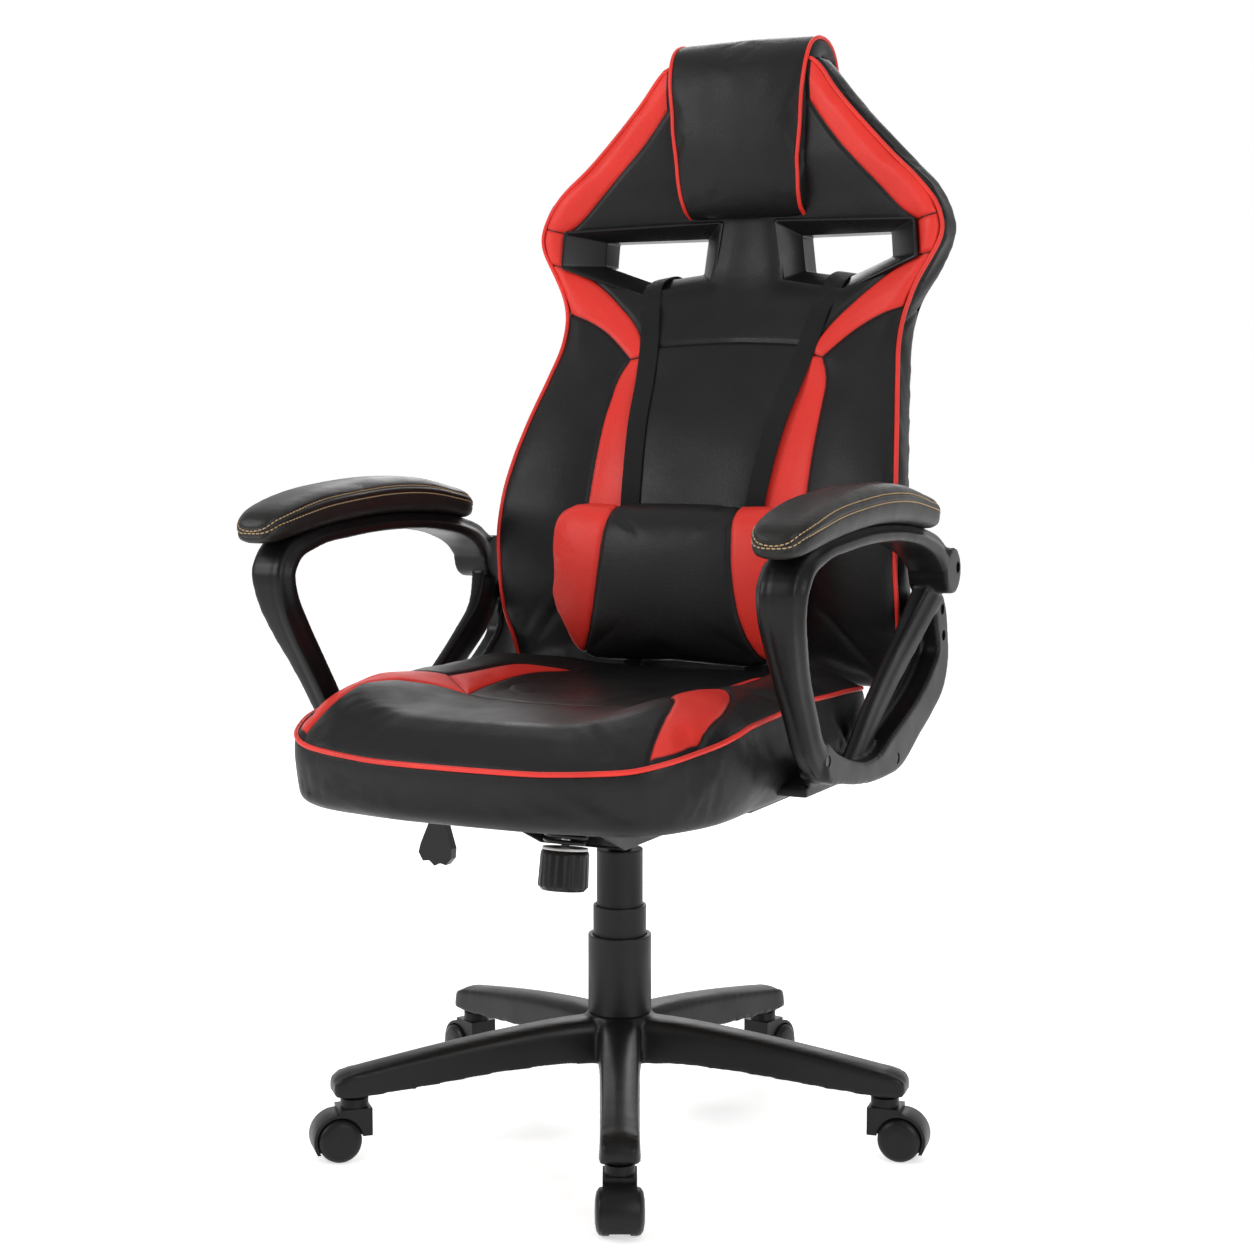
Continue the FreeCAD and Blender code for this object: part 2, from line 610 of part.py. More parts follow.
def arm_frame():
    """The left armrest's moulded frame: front leg, top bar, knuckle, brace, bottom rail and rear flange."""
    low, out, inner = ARM_LOW_OUT, ARM_OUT, ARM_IN
    leg_and_top = band([
        (-118, 470, 28, inner, low), (-157, 499, 26, inner, low), (-183, 535, 24, inner, low + 2),
        (-208, 570, 23, inner, low + 5), (-236, 610, 22, inner, low + 12), (-254, 645, 21, inner, low + 18),
        (-258, 672, 22, inner, out - 1), (-243, 692, 21, inner, out), (-202, 707, 19, inner, out),
        (-130, 716, 19, inner, out), (-40, 720, 20, inner, out), (60, 716, 21, inner, out),
        (130, 706, 25, inner, out), (176, 692, 32, inner + 4, out), (204, 674, 40, inner + 8, out),
    ])
    knuckle = rod((inner + 8, 214, 664), (out, 214, 664), 27.5)
    rail = smooth_prism_x([
        (-135, 466), (-80, 451), (-22, 442.5), (48, 439.5), (101, 444), (165, 472), (212, 493), (256, 521),
        (270, 553), (267, 584), (257, 618), (243, 634), (225, 630), (222, 604), (232, 568), (204, 542),
        (165, 520), (111, 499), (62, 482), (30, 470), (-4, 466), (-62, 475), (-109, 490), (-138, 503),
    ], inner, low)
    wall = smooth_prism_x([
        (40, 460), (110, 470), (200, 510), (240, 560), (240, 600), (216, 596), (214, 572), (192, 551),
        (160, 530), (108, 508), (62, 492), (40, 480),
    ], inner, inner + 9)
    brace = band([
        (10, 472, 34, inner + 1, inner + 19), (45, 500, 36, inner + 1, inner + 19),
        (120, 552, 38, inner + 1, inner + 20), (180, 596, 40, inner + 2, inner + 26),
        (214, 640, 42, inner + 8, inner + 40),
    ])
    tongue = box(140, inner - 8, -128, 95, PAN_BOTTOM - 8.2, PAN_BOTTOM - 0.2)
    riser = box(inner - 16, inner + 6, -128, 95, PAN_BOTTOM - 8.2, 458)
    frame = fused([leg_and_top, knuckle, rail, wall, brace, tongue, riser])
    holes = [upright(3.0, 400, 440, x, y) for x, y in PAN_SCREWS]
    for y, z in SIDE_SCREWS:
        holes += [rod((inner + 8, y, z), (400, y, z), 2.5), rod((low - 4, y, z), (400, y, z), 6.5)]
    for y, z in BACK_BOLTS:
        holes += [rod((inner - 5, y, z), (400, y, z), 3.0), rod((low - 8, y, z), (400, y, z), 6.6)]
    y, z = KNUCKLE_SCREW
    holes += [rod((inner + 22, y, z), (400, y, z), 3.0), rod((out - 8, y, z), (400, y, z), 6.9)]
    return frame.cut(holes)


def side_bolt(tip_x, head_x, y, z, shank_r, head_r):
    """A bolt along X with its head outwards."""
    return rod((tip_x, y, z), (head_x, y, z), shank_r).fuse(rod((head_x, y, z), (head_x + 3, y, z), head_r))


def arm_bolts():
    """Left side's fasteners: two in the seat pan, two in the rail, two in the back, one in the knuckle."""
    low = PAN_BOTTOM - 8.2
    bolts = [upright(7.0, low - 5, low, x, y).fuse(upright(3.0, low, PAN_BOTTOM + PAN_THICK, x, y))
             for x, y in PAN_SCREWS]
    bolts += [side_bolt(ARM_IN + 8, ARM_LOW_OUT - 4, y, z, 2.5, 6.0) for y, z in SIDE_SCREWS]
    bolts += [side_bolt(240, ARM_LOW_OUT - 8, y, z, 3.0, 6.0) for y, z in BACK_BOLTS]
    y, z = KNUCKLE_SCREW
    return bolts + [side_bolt(ARM_IN + 22, ARM_OUT - 8, y, z, 3.0, 6.4)]


def pad_section(y, z_low, z_high, half):
    """A cross-section of the arm pad at y: flat underside, rounded crown."""
    x = 0.5 * (ARM_IN + ARM_OUT) + 3
    tall = z_high - z_low
    side = [(0.9, 0.0), (1.0, 0.35), (0.88, 0.75), (0.5, 0.96)]
    around = [(0.0, -0.01)] + side + [(0.0, 1.02)] + [(-a, b) for a, b in reversed(side)]
    return closed_spline([(x + half * a, y, z_low + tall * b) for a, b in around])


def arm_pad():
    return loft([
        pad_section(-292, 707, 722, 14), pad_section(-284, 704, 738, 27), pad_section(-255, 712, 750, 34),
        pad_section(-200, 720.5, 763, 36), pad_section(-120, 728, 771, 36), pad_section(-40, 732.5, 775, 36),
        pad_section(40, 731, 772, 36), pad_section(100, 725.5, 762, 35), pad_section(140, 720.5, 752, 33),
        pad_section(152, 720, 744, 27),
    ])


def make_arms():
    frame, bolts = arm_frame(), arm_bolts()
    pad = arm_pad().cut(frame)
    save("arm_frame_left", frame)
    save("arm_frame_right", mirrored(frame))
    save("arm_pad_left", pad)
    save("arm_pad_right", mirrored(pad))
    save("arm_bolts", *(bolts + [mirrored(b) for b in bolts]))


def main():
    os.makedirs("parts", exist_ok=True)
    make_base()
    make_column()
    make_housing()
    make_seat_plate()
    make_tension()
    make_lever()
    make_seat()
    make_back()
    save("strap_left", strap(1))
    save("strap_right", strap(-1))
    make_arms()


main()
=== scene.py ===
import json
import math

import bmesh
import bpy
import numpy as np
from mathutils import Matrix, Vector
from mathutils.bvhtree import BVHTree


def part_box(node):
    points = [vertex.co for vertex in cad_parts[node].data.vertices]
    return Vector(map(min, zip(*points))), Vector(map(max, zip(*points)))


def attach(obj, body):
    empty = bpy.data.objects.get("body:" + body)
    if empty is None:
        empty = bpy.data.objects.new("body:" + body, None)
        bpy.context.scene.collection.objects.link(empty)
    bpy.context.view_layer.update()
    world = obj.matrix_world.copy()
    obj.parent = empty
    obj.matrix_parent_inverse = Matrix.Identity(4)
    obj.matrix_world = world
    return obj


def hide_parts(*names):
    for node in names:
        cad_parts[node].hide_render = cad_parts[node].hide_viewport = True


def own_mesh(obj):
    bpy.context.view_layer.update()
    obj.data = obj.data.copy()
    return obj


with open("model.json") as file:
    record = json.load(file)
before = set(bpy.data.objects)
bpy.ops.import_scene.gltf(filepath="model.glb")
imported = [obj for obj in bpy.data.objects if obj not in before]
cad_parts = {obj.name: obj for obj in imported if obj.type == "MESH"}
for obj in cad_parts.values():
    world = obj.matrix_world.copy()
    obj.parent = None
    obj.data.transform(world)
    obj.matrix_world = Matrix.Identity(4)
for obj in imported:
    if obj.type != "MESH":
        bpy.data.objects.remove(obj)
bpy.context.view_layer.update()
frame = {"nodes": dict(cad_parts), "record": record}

# The looks of the gaming chair, in metres, in the frame's own axes: +Z up, the sitter faces -Y, +X is the
# sitter's left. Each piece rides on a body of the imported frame.

scene = bpy.context.scene


# ---- curves ----
def smooth_line(points, count, closed=False):
    """count points, evenly spaced, along a smooth curve through the given ones."""
    p = np.array(points, float)
    if closed:
        p = np.vstack([p[-1], p, p[0], p[1]])
    else:
        p = np.vstack([2 * p[0] - p[1], p, 2 * p[-1] - p[-2]])
    step = np.diff(p, axis=0)
    size = np.maximum(np.linalg.norm(step, axis=1), 1e-9)[:, None]
    slope = step / size
    tangent = (slope[:-1] * size[1:] + slope[1:] * size[:-1]) / (size[1:] + size[:-1])
    t = np.linspace(0, 1, 24, endpoint=False)[:, None]
    fine = []
    for i in range(1, len(p) - 2):
        start, end = tangent[i - 1] * size[i], tangent[i] * size[i]
        fine.append(
            (2 * t**3 - 3 * t**2 + 1) * p[i]
            + (t**3 - 2 * t**2 + t) * start
            + (3 * t**2 - 2 * t**3) * p[i + 1]
            + (t**3 - t**2) * end
        )
    fine = np.vstack(fine + [p[-2][None]])
    along = np.r_[0, np.cumsum(np.linalg.norm(np.diff(fine, axis=0), axis=1))]
    wanted = np.linspace(0, along[-1], count, endpoint=not closed)
    return np.column_stack([np.interp(wanted, along, column) for column in fine.T])


def ramp(value, low, high):
    """0 below low, 1 above high and smooth between."""
    t = np.clip((np.asarray(value, float) - low) / (high - low), 0, 1)
    return t * t * (3 - 2 * t)


def line_distance(points, line):
    """Each point's distance to a line of straight runs."""
    best = np.full(len(points), 1e9)
    for a, b in zip(line[:-1], line[1:]):
        run = b - a
        t = np.clip(((points - a) @ run) / max(run @ run, 1e-18), 0, 1)
        best = np.minimum(best, np.linalg.norm(points - a - t[:, None] * run, axis=1))
    return best


def inside(points, outline):
    """Which 2-D points lie inside a closed outline."""
    x, y = points.T
    found = np.zeros(len(points), bool)
    for (x0, y0), (x1, y1) in zip(outline, np.roll(outline, -1, axis=0)):
        crosses = (y0 > y) != (y1 > y)
        rise = y1 - y0 if y1 != y0 else 1e-12
        found ^= crosses & (x < (x1 - x0) * (y - y0) / rise + x0)
    return found


def signed_distance(points, outline):
    """Distance to a closed outline, positive inside."""
    closed = np.vstack([outline, outline[:1]])
    return line_distance(points, closed) * np.where(inside(points, outline), 1, -1)


# ---- meshes ----
def mesh_object(name, points, faces):
    mesh = bpy.data.meshes.new(name)
    mesh.from_pydata([tuple(p) for p in points], [], faces)
    mesh.update()
    obj = bpy.data.objects.new(name, mesh)
    scene.collection.objects.link(obj)
    return obj


def skin(name, rings, closed=False):
    """A closed form over rings of points. It has end caps, or runs round to its start if closed."""
    n, count = len(rings[0]), len(rings)
    faces = []
    for i in range(count if closed else count - 1):
        a, b = i * n, (i + 1) % count * n
        faces += [(a + k, a + (k + 1) % n, b + (k + 1) % n, b + k) for k in range(n)]
    if not closed:
        faces += [tuple(range(n))[::-1], tuple(range((count - 1) * n, count * n))]
    obj = mesh_object(name, np.vstack(rings), faces)
    face_outwards(obj)
    return obj


def face_outwards(obj):
    work = bmesh.new()
    work.from_mesh(obj.data)
    bmesh.ops.recalc_face_normals(work, faces=work.faces)
    work.to_mesh(obj.data)
    work.free()


def sweep(name, path, section, up, closed=False):
    """A section of (a, b) points carried along a path: a runs along up, and b across both."""
    path = np.array(path, float)
    if closed:
        tangent = np.roll(path, -1, axis=0) - np.roll(path, 1, axis=0)
    else:
        tangent = np.gradient(path, axis=0)
    tangent /= np.linalg.norm(tangent, axis=1)[:, None]
    up = np.broadcast_to(np.array(up, float), path.shape)
    a = up - (up * tangent).sum(1)[:, None] * tangent
    a /= np.linalg.norm(a, axis=1)[:, None]
    b = np.cross(tangent, a)
    rings = [p + np.outer([s[0] for s in section], u) + np.outer([s[1] for s in section], v)
             for p, u, v in zip(path, a, b)]
    return skin(name, rings, closed)


def circle(radius, sides=10):
    turn = [2 * math.pi * k / sides for k in range(sides)]
    return [(radius * math.cos(t), radius * math.sin(t)) for t in turn]


def rounded(half_a, half_b, power=4.0, sides=24):
    """A rounded rectangle as (a, b) points."""
    turn = [2 * math.pi * (k + 0.5) / sides for k in range(sides)]

    def bent(v):
        return math.copysign(abs(v) ** (2 / power), v)

    return [(half_a * bent(math.cos(t)), half_b * bent(math.sin(t))) for t in turn]


def places(obj):
    co = np.empty(len(obj.data.vertices) * 3)
    obj.data.vertices.foreach_get("co", co)
    return co.reshape(-1, 3)


def set_places(obj, co):
    obj.data.vertices.foreach_set("co", np.asarray(co, np.float32).ravel())
    obj.data.update()


def normals(obj):
    n = np.empty(len(obj.data.vertices) * 3, np.float32)
    obj.data.vertex_normals.foreach_get("vector", n)
    return n.reshape(-1, 3).astype(float)


def bake(obj):
    """Replaces a mesh with the result of its modifiers."""
    graph = bpy.context.evaluated_depsgraph_get()
    mesh = bpy.data.meshes.new_from_object(obj.evaluated_get(graph))
    obj.modifiers.clear()
    obj.data = mesh


def remesh(obj, voxel, smoothing=0):
    """Covers one or more closed forms with one even skin."""
    even = obj.modifiers.new("even", "REMESH")
    even.mode = "VOXEL"
    even.voxel_size = voxel
    if smoothing:
        soft = obj.modifiers.new("soft", "SMOOTH")
        soft.factor = 0.5
        soft.iterations = smoothing
    bake(obj)


def subdivide(obj):
    finer = obj.modifiers.new("finer", "SUBSURF")
    finer.levels = 1
    finer.render_levels = 1
    bake(obj)


def cut(obj, *tools):
    """Takes closed forms away from a closed mesh."""
    for tool in tools:
        hole = obj.modifiers.new("hole", "BOOLEAN")
        hole.operation = "DIFFERENCE"
        hole.solver = "MANIFOLD"
        hole.object = tool
    bake(obj)
    for tool in tools:
        bpy.data.objects.remove(tool)


def join(name, objects):
    """Several meshes as one."""
    work = bmesh.new()
    for obj in objects:
        work.from_mesh(obj.data)
    mesh = bpy.data.meshes.new(name)
    work.to_mesh(mesh)
    work.free()
    for obj in objects:
        bpy.data.objects.remove(obj)
    whole = bpy.data.objects.new(name, mesh)
    scene.collection.objects.link(whole)
    return whole


def mirror(obj, name):
    """A copy of a mesh, mirrored from the sitter's left to the right."""
    twin = bpy.data.objects.new(name, obj.data.copy())
    scene.collection.objects.link(twin)
    co = places(twin)
    co[:, 0] *= -1
    set_places(twin, co)
    twin.data.flip_normals()
    return twin


def shade(obj, angle=None):
    obj.data.polygons.foreach_set("use_smooth", [True] * len(obj.data.polygons))
    if angle:
        obj.data.set_sharp_from_angle(angle=math.radians(angle))
    obj.data.update()


def swell(obj, pressure, cap, held):
    """Air pressure swells a closed form as cloth, and no point moves further than cap."""
    rest = places(obj)
    group = obj.vertex_groups.new(name="held")
    group.add([int(i) for i in np.nonzero(held(rest))[0]], 1.0, "REPLACE")
    cloth = obj.modifiers.new("cloth", "CLOTH")
    cloth.settings.use_pressure = True
    cloth.settings.uniform_pressure_force = pressure
    cloth.settings.effector_weights.gravity = 0
    cloth.settings.vertex_group_mass = "held"
    cloth.point_cache.frame_end = 20
    for number in range(1, 21):
        scene.frame_set(number)
    bake(obj)
    moved = places(obj) - rest
    size = np.maximum(np.linalg.norm(moved, axis=1), 1e-9)[:, None]
    set_places(obj, rest + moved / size * cap * np.tanh(size / cap))
    obj.vertex_groups.clear()
    scene.frame_set(1)


def refine(obj, near):
    """Halves the edges where near(points) is true, so that a seam there has enough points."""
    work = bmesh.new()
    work.from_mesh(obj.data)
    chosen = near(np.array([v.co for v in work.verts]))
    edges = [e for e in work.edges if chosen[e.verts[0].index] and chosen[e.verts[1].index]]
    bmesh.ops.subdivide_edges(work, edges=edges, cuts=1, use_grid_fill=True)
    work.to_mesh(obj.data)
    work.free()


def sew(obj, distance, depth, width, puff=0.0, puff_width=0.03):
    """Pulls the cover in along a seam, given each point's distance to it, and lets it swell between seams."""
    pull = depth * np.exp(-((distance / width) ** 2)) - puff * (1 - np.exp(-distance / puff_width))
    set_places(obj, places(obj) - normals(obj) * pull[:, None])


def store(obj, name, values):
    attribute = obj.data.attributes.new(name, "FLOAT", "POINT")
    attribute.data.foreach_set("value", np.asarray(values, np.float32))


def on_surface(obj, path, lift):
    """A path moved onto a mesh, then lifted off it."""
    co = [Vector(p) for p in places(obj)]
    tree = BVHTree.FromPolygons(co, [tuple(f.vertices) for f in obj.data.polygons])
    found = []
    for p in path:
        place, normal, _, _ = tree.find_nearest(Vector(p))
        found.append(np.array(place + normal * lift))
    return np.array(found)


def relaxed(path, passes, closed=False):
    """Evens out small jogs along a path."""
    path = path.copy()
    for _ in range(passes):
        even = (np.roll(path, 1, axis=0) + 2 * path + np.roll(path, -1, axis=0)) / 4
        if not closed:
            even[0], even[-1] = path[0], path[-1]
        path = even
    return path


def finish_piece(obj, material, body, nodes=(), angle=None):
    obj.data.materials.clear()
    obj.data.materials.append(material)
    shade(obj, angle)
    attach(obj, body)
    if nodes:
        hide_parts(*nodes)
    return obj


# ---- materials ----
class Surface:
    """A procedural material: a Principled shader whose colour, roughness and bump vary over the surface."""

    def __init__(self, name, colour, roughness, **sockets):
        self.material = bpy.data.materials.new(name)
        self.material.use_nodes = True
        self.tree = self.material.node_tree
        self.shader = self.tree.nodes["Principled BSDF"]
        for socket, value in sockets.items():
            self.shader.inputs[socket.replace("_", " ")].default_value = value
        self.place = self.tree.nodes.new("ShaderNodeTexCoord").outputs["Object"]
        self.colour = self.mottled(colour)
        self.link(self.colour, self.shader.inputs["Base Color"])
        self.rough(*roughness)
        self.normal = None
        self.material.diffuse_color = (*colour, 1)

    def node(self, kind, **inputs):
        made = self.tree.nodes.new("ShaderNode" + kind)
        for name, value in inputs.items():
            made.inputs[name].default_value = value
        return made

    def link(self, a, b):
        self.tree.links.new(a, b)

    def noise(self, scale, detail=3.0):
        made = self.node("TexNoise", Scale=scale, Detail=detail)
        self.link(self.place, made.inputs["Vector"])
        return made.outputs["Fac"]

    def scaled(self, value, low, high):
        made = self.node("MapRange")
        made.inputs["From Min"].default_value = 0.3
        made.inputs["From Max"].default_value = 0.7
        made.inputs["To Min"].default_value = low
        made.inputs["To Max"].default_value = high
        self.link(value, made.inputs["Value"])
        return made.outputs["Result"]

    def mix(self, share, a, b):
        made = self.tree.nodes.new("ShaderNodeMix")
        made.data_type = "RGBA"
        self.link(share, made.inputs["Factor"])
        for value, socket in ((a, made.inputs["A"]), (b, made.inputs["B"])):
            if isinstance(value, tuple):
                socket.default_value = (*value, 1)
            else:
                self.link(value, socket)
        return made.outputs["Result"]

    def mottled(self, colour, spread=0.12, scale=14.0):
        """The colour, slightly lighter and darker in soft patches."""
        dark, light = (tuple(c * (1 + s) for c in colour) for s in (-spread, spread))
        return self.mix(self.scaled(self.noise(scale), 0, 1), dark, light)

    def rough(self, low, high, scale=22.0):
        self.link(self.scaled(self.noise(scale), low, high), self.shader.inputs["Roughness"])

    def bump(self, height, distance, strength=1.0):
        """Adds a layer of relief; distance is its depth in metres."""
        made = self.node("Bump", Strength=strength, Distance=distance)
        self.link(height, made.inputs["Height"])
        if self.normal:
            self.link(self.normal, made.inputs["Normal"])
        self.normal = made.outputs["Normal"]
        self.link(self.normal, self.shader.inputs["Normal"])
        return self

    def cells(self, scale, distance):
        """Leather's pebbled grain."""
        made = self.node("TexVoronoi", Scale=scale)
        made.feature = "SMOOTH_F1"
        self.link(self.place, made.inputs["Vector"])
        return self.bump(made.outputs["Distance"], distance)

    def grain(self, scale, distance, detail=4.0):
        return self.bump(self.noise(scale, detail), distance)

    def step(self, attribute, edge, width):
        """0 below edge and 1 above it, read from the mesh."""
        value = self.tree.nodes.new("ShaderNodeAttribute")
        value.attribute_name = attribute
        made = self.node("MapRange")
        made.inputs["From Min"].default_value = edge - width
        made.inputs["From Max"].default_value = edge + width
        self.link(value.outputs["Fac"], made.inputs["Value"])
        return made.outputs["Result"]

    def panels(self, colour):
        """Paints the mesh's marked panels, and the thin shadow line in its seams."""
        red = self.mottled(colour, 0.05)
        both = self.mix(self.step("panel", 0.0, 0.0004), self.colour, red)
        # painted shadow: the colour turns near-black within about 0.4 mm of a seam and fades back by 1.8 mm, standing
        # in for the shade in the seam's fold
        seam = self.step("seam", 0.0011, 0.0007)
        self.link(self.mix(seam, (0.004, 0.003, 0.003), both), self.shader.inputs["Base Color"])
        return self


BLACK, RED = (0.0085, 0.0085, 0.0088), (0.68, 0.034, 0.024)
TAN = (0.46, 0.31, 0.16)

leather = Surface("leather", BLACK, (0.38, 0.50), Specular_IOR_Level=0.24)
leather.panels(RED).cells(820.0, 0.00022).grain(260.0, 0.00012).grain(9.0, 0.0016, 2.0)
piping = Surface("piping", RED, (0.36, 0.44), Specular_IOR_Level=0.3)
piping.cells(900.0, 0.00012)
pad_leather = Surface("pad_leather", (0.0105, 0.010, 0.0093), (0.38, 0.50), Specular_IOR_Level=0.30)
pad_leather.cells(640.0, 0.0003).grain(300.0, 0.00012).grain(12.0, 0.0010, 2.0)
thread = Surface("thread", TAN, (0.6, 0.75))
thread.grain(1500.0, 0.0002)
nylon = Surface("nylon", (0.0066, 0.0066, 0.0069), (0.34, 0.44), Specular_IOR_Level=0.24)
nylon.grain(1300.0, 0.00006).grain(30.0, 0.0004, 1.0)
arm_nylon = Surface("arm_nylon", (0.0048, 0.0048, 0.0051), (0.32, 0.42), Specular_IOR_Level=0.22)
arm_nylon.grain(1500.0, 0.00005).grain(26.0, 0.0003, 1.0)
gloss_nylon = Surface("gloss_nylon", (0.008, 0.008, 0.0083), (0.26, 0.36), Specular_IOR_Level=0.28)
gloss_nylon.grain(1100.0, 0.00004)
shroud = Surface("shroud", (0.0095, 0.0095, 0.0098), (0.40, 0.50), Specular_IOR_Level=0.26)
shroud.grain(1600.0, 0.00008)
enamel = Surface("enamel", (0.008, 0.008, 0.0083), (0.32, 0.45), Specular_IOR_Level=0.3)
enamel.grain(700.0, 0.00012)
steel = Surface("steel", (0.52, 0.52, 0.53), (0.25, 0.4), Metallic=1.0)
steel.grain(900.0, 0.00005)
black_steel = Surface("black_steel", (0.020, 0.020, 0.021), (0.3, 0.42), Metallic=0.6)
black_steel.grain(900.0, 0.00005)
plywood = Surface("plywood", (0.38, 0.26, 0.15), (0.6, 0.8))
plywood.grain(60.0, 0.0004).grain(400.0, 0.0002)


def woven():
    """Flat webbing: fine ribs along the band, crossed by the weft."""
    made = Surface("webbing", (0.0075, 0.0075, 0.0078), (0.6, 0.8), Sheen_Weight=0.06, Specular_IOR_Level=0.2)
    for direction, scale, depth in (("X", 420.0, 0.00035), ("Z", 520.0, 0.0003)):
        wave = made.node("TexWave", Scale=scale, Distortion=1.0, Detail=1.0)
        wave.bands_direction = direction
        made.link(made.place, wave.inputs["Vector"])
        made.bump(wave.outputs["Fac"], depth)
    return made


webbing = woven()
PLAIN = {
    "base_nylon": nylon, "stem_steel": steel, "caster_nylon": nylon, "wheel_nylon": nylon,
    "column_paint": enamel, "shroud_plastic": shroud, "mechanism_paint": enamel, "spring_steel": black_steel,
    "knob_plastic": gloss_nylon, "plywood": plywood, "cover_leather": leather, "rear_leather": leather,
    "bezel_plastic": gloss_nylon, "webbing": webbing, "arm_nylon": arm_nylon, "pad_leather": pad_leather,
    "screw_steel": black_steel,
}


def dress_frame():
    """Gives every CAD node its material, welds its mesh and breaks its sharp edges."""
    slots = {part["node"]: part["material_slot"] for part in frame["record"]["subparts"]}
    for name, obj in frame["nodes"].items():
        obj.data.materials.clear()
        obj.data.materials.append(PLAIN[slots[name]].material)
        lo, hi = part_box(name)
        weld = obj.modifiers.new("weld", "WELD")
        weld.merge_threshold = 0.00002
        edge = obj.modifiers.new("edge", "BEVEL")
        edge.width = min(0.0009, 0.03 * min(hi - lo))
        edge.segments = 2
        edge.limit_method = "ANGLE"
        edge.angle_limit = math.radians(40)
        edge.use_clamp_overlap = True


# ---- seat ----
SEAT_LO, SEAT_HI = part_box("seat_cushion")
SEAT_BASE = SEAT_LO.z
PIPING_R = 0.0029
# height of the seat's piping along the depth of the seat
SEAT_EDGE = [(-0.385, 0.492), (-0.356, 0.503), (-0.341, 0.509), (-0.29, 0.518), (-0.20, 0.528), (-0.05, 0.535),
             (0.10, 0.532), (0.196, 0.525)]
# heights along the seat's middle
SEAT_MIDDLE = [(-0.385, 0.520), (-0.30, 0.523), (-0.20, 0.526), (-0.16, 0.523), (-0.05, 0.517), (0.10, 0.521),
               (0.19, 0.528)]
SEAT_STRIPE_OUT = [(0.240, -0.352), (0.236, -0.325), (0.233, -0.27), (0.228, -0.21), (0.205, -0.148), (0.167, -0.11)]
SEAT_STRIPE_IN = [(0.209, -0.372), (0.203, -0.338), (0.197, -0.30), (0.187, -0.25), (0.163, -0.207),
                  (0.140, -0.172), (0.114, -0.155)]
SEAT_WEDGE_OUT = [(0.167, -0.11), (0.170, -0.03), (0.158, 0.06), (0.12, 0.118)]
SEAT_WEDGE_IN = [(0.12, 0.118), (0.133, 0.06), (0.138, 0.0), (0.130, -0.085), (0.114, -0.155)]
SEAT_CROSS = [(-0.114, -0.155), (-0.077, -0.161), (-0.03, -0.171), (0.03, -0.171), (0.077, -0.161), (0.114, -0.155)]


def column(table, at):
    """Reads the second column of a table at values of the first."""
    table = np.array(table)
    return np.interp(at, table[:, 0], table[:, 1])


def seat_ring(inset, count=150):
    """The seat's plan, moved inwards."""
    half, front, rear = SEAT_HI.x - inset, SEAT_LO.y + inset, SEAT_HI.y - inset
    side = [
        (0.5 * half, front + 0.008),
        (0.83 * half, front + 0.032),
        (0.97 * half, front + 0.095),
        (half, front + 0.220),
        (0.995 * half, rear - 0.160),
        (0.975 * half, rear - 0.045),
        (0.86 * half, rear - 0.006),
        (0.4 * half, rear),
    ]
    outline = [(0, front)] + side + [(0, rear)] + [(-x, y) for x, y in reversed(side)]
    return smooth_line(outline, count, closed=True)


def seat_top(plan, inset):
    """Heights of the seat's top over its plan: from the piping up to a dished middle between two bolsters."""
    x, y = np.abs(plan[:, 0]), plan[:, 1]
    edge = column(SEAT_EDGE, y)
    bolster = 0.025 * ramp(x, 0.09, 0.19) * (1 - 0.6 * ramp(-y, 0.25, 0.36)) * (1 - 0.7 * ramp(y, 0.05, 0.18))
    middle = column(SEAT_MIDDLE, y) + bolster
    share = ramp(inset, -0.004, 0.075)
    return edge * (1 - share) + middle * share + 0.004 * math.sin(math.pi * min(inset / 0.075, 1.0))


def level(plan, z):
    return np.column_stack([plan, np.broadcast_to(z, len(plan))])


def seat_form():
    rings = [level(seat_ring(inset), SEAT_BASE + z) for inset, z in
             ((0.060, 0.0), (0.046, 0.0), (0.042, -0.008), (0.026, -0.010), (0.011, -0.003), (0.004, 0.012),
              (0.0015, 0.030))]
    plan = seat_ring(0.001)
    edge = column(SEAT_EDGE, plan[:, 1])
    low = SEAT_BASE + 0.030
    rings += [level(seat_ring(inset), low + (edge - low) * share) for inset, share in
              ((0.0, 0.35), (0.0, 0.65), (0.001, 0.9), (0.003, 1.0))]
    for inset in (0.010, 0.020, 0.035, 0.055, 0.080, 0.110, 0.145, 0.180, 0.210):
        plan = seat_ring(inset)
        rings.append(level(plan, seat_top(plan, inset)))
    return skin("seat_cover", rings)


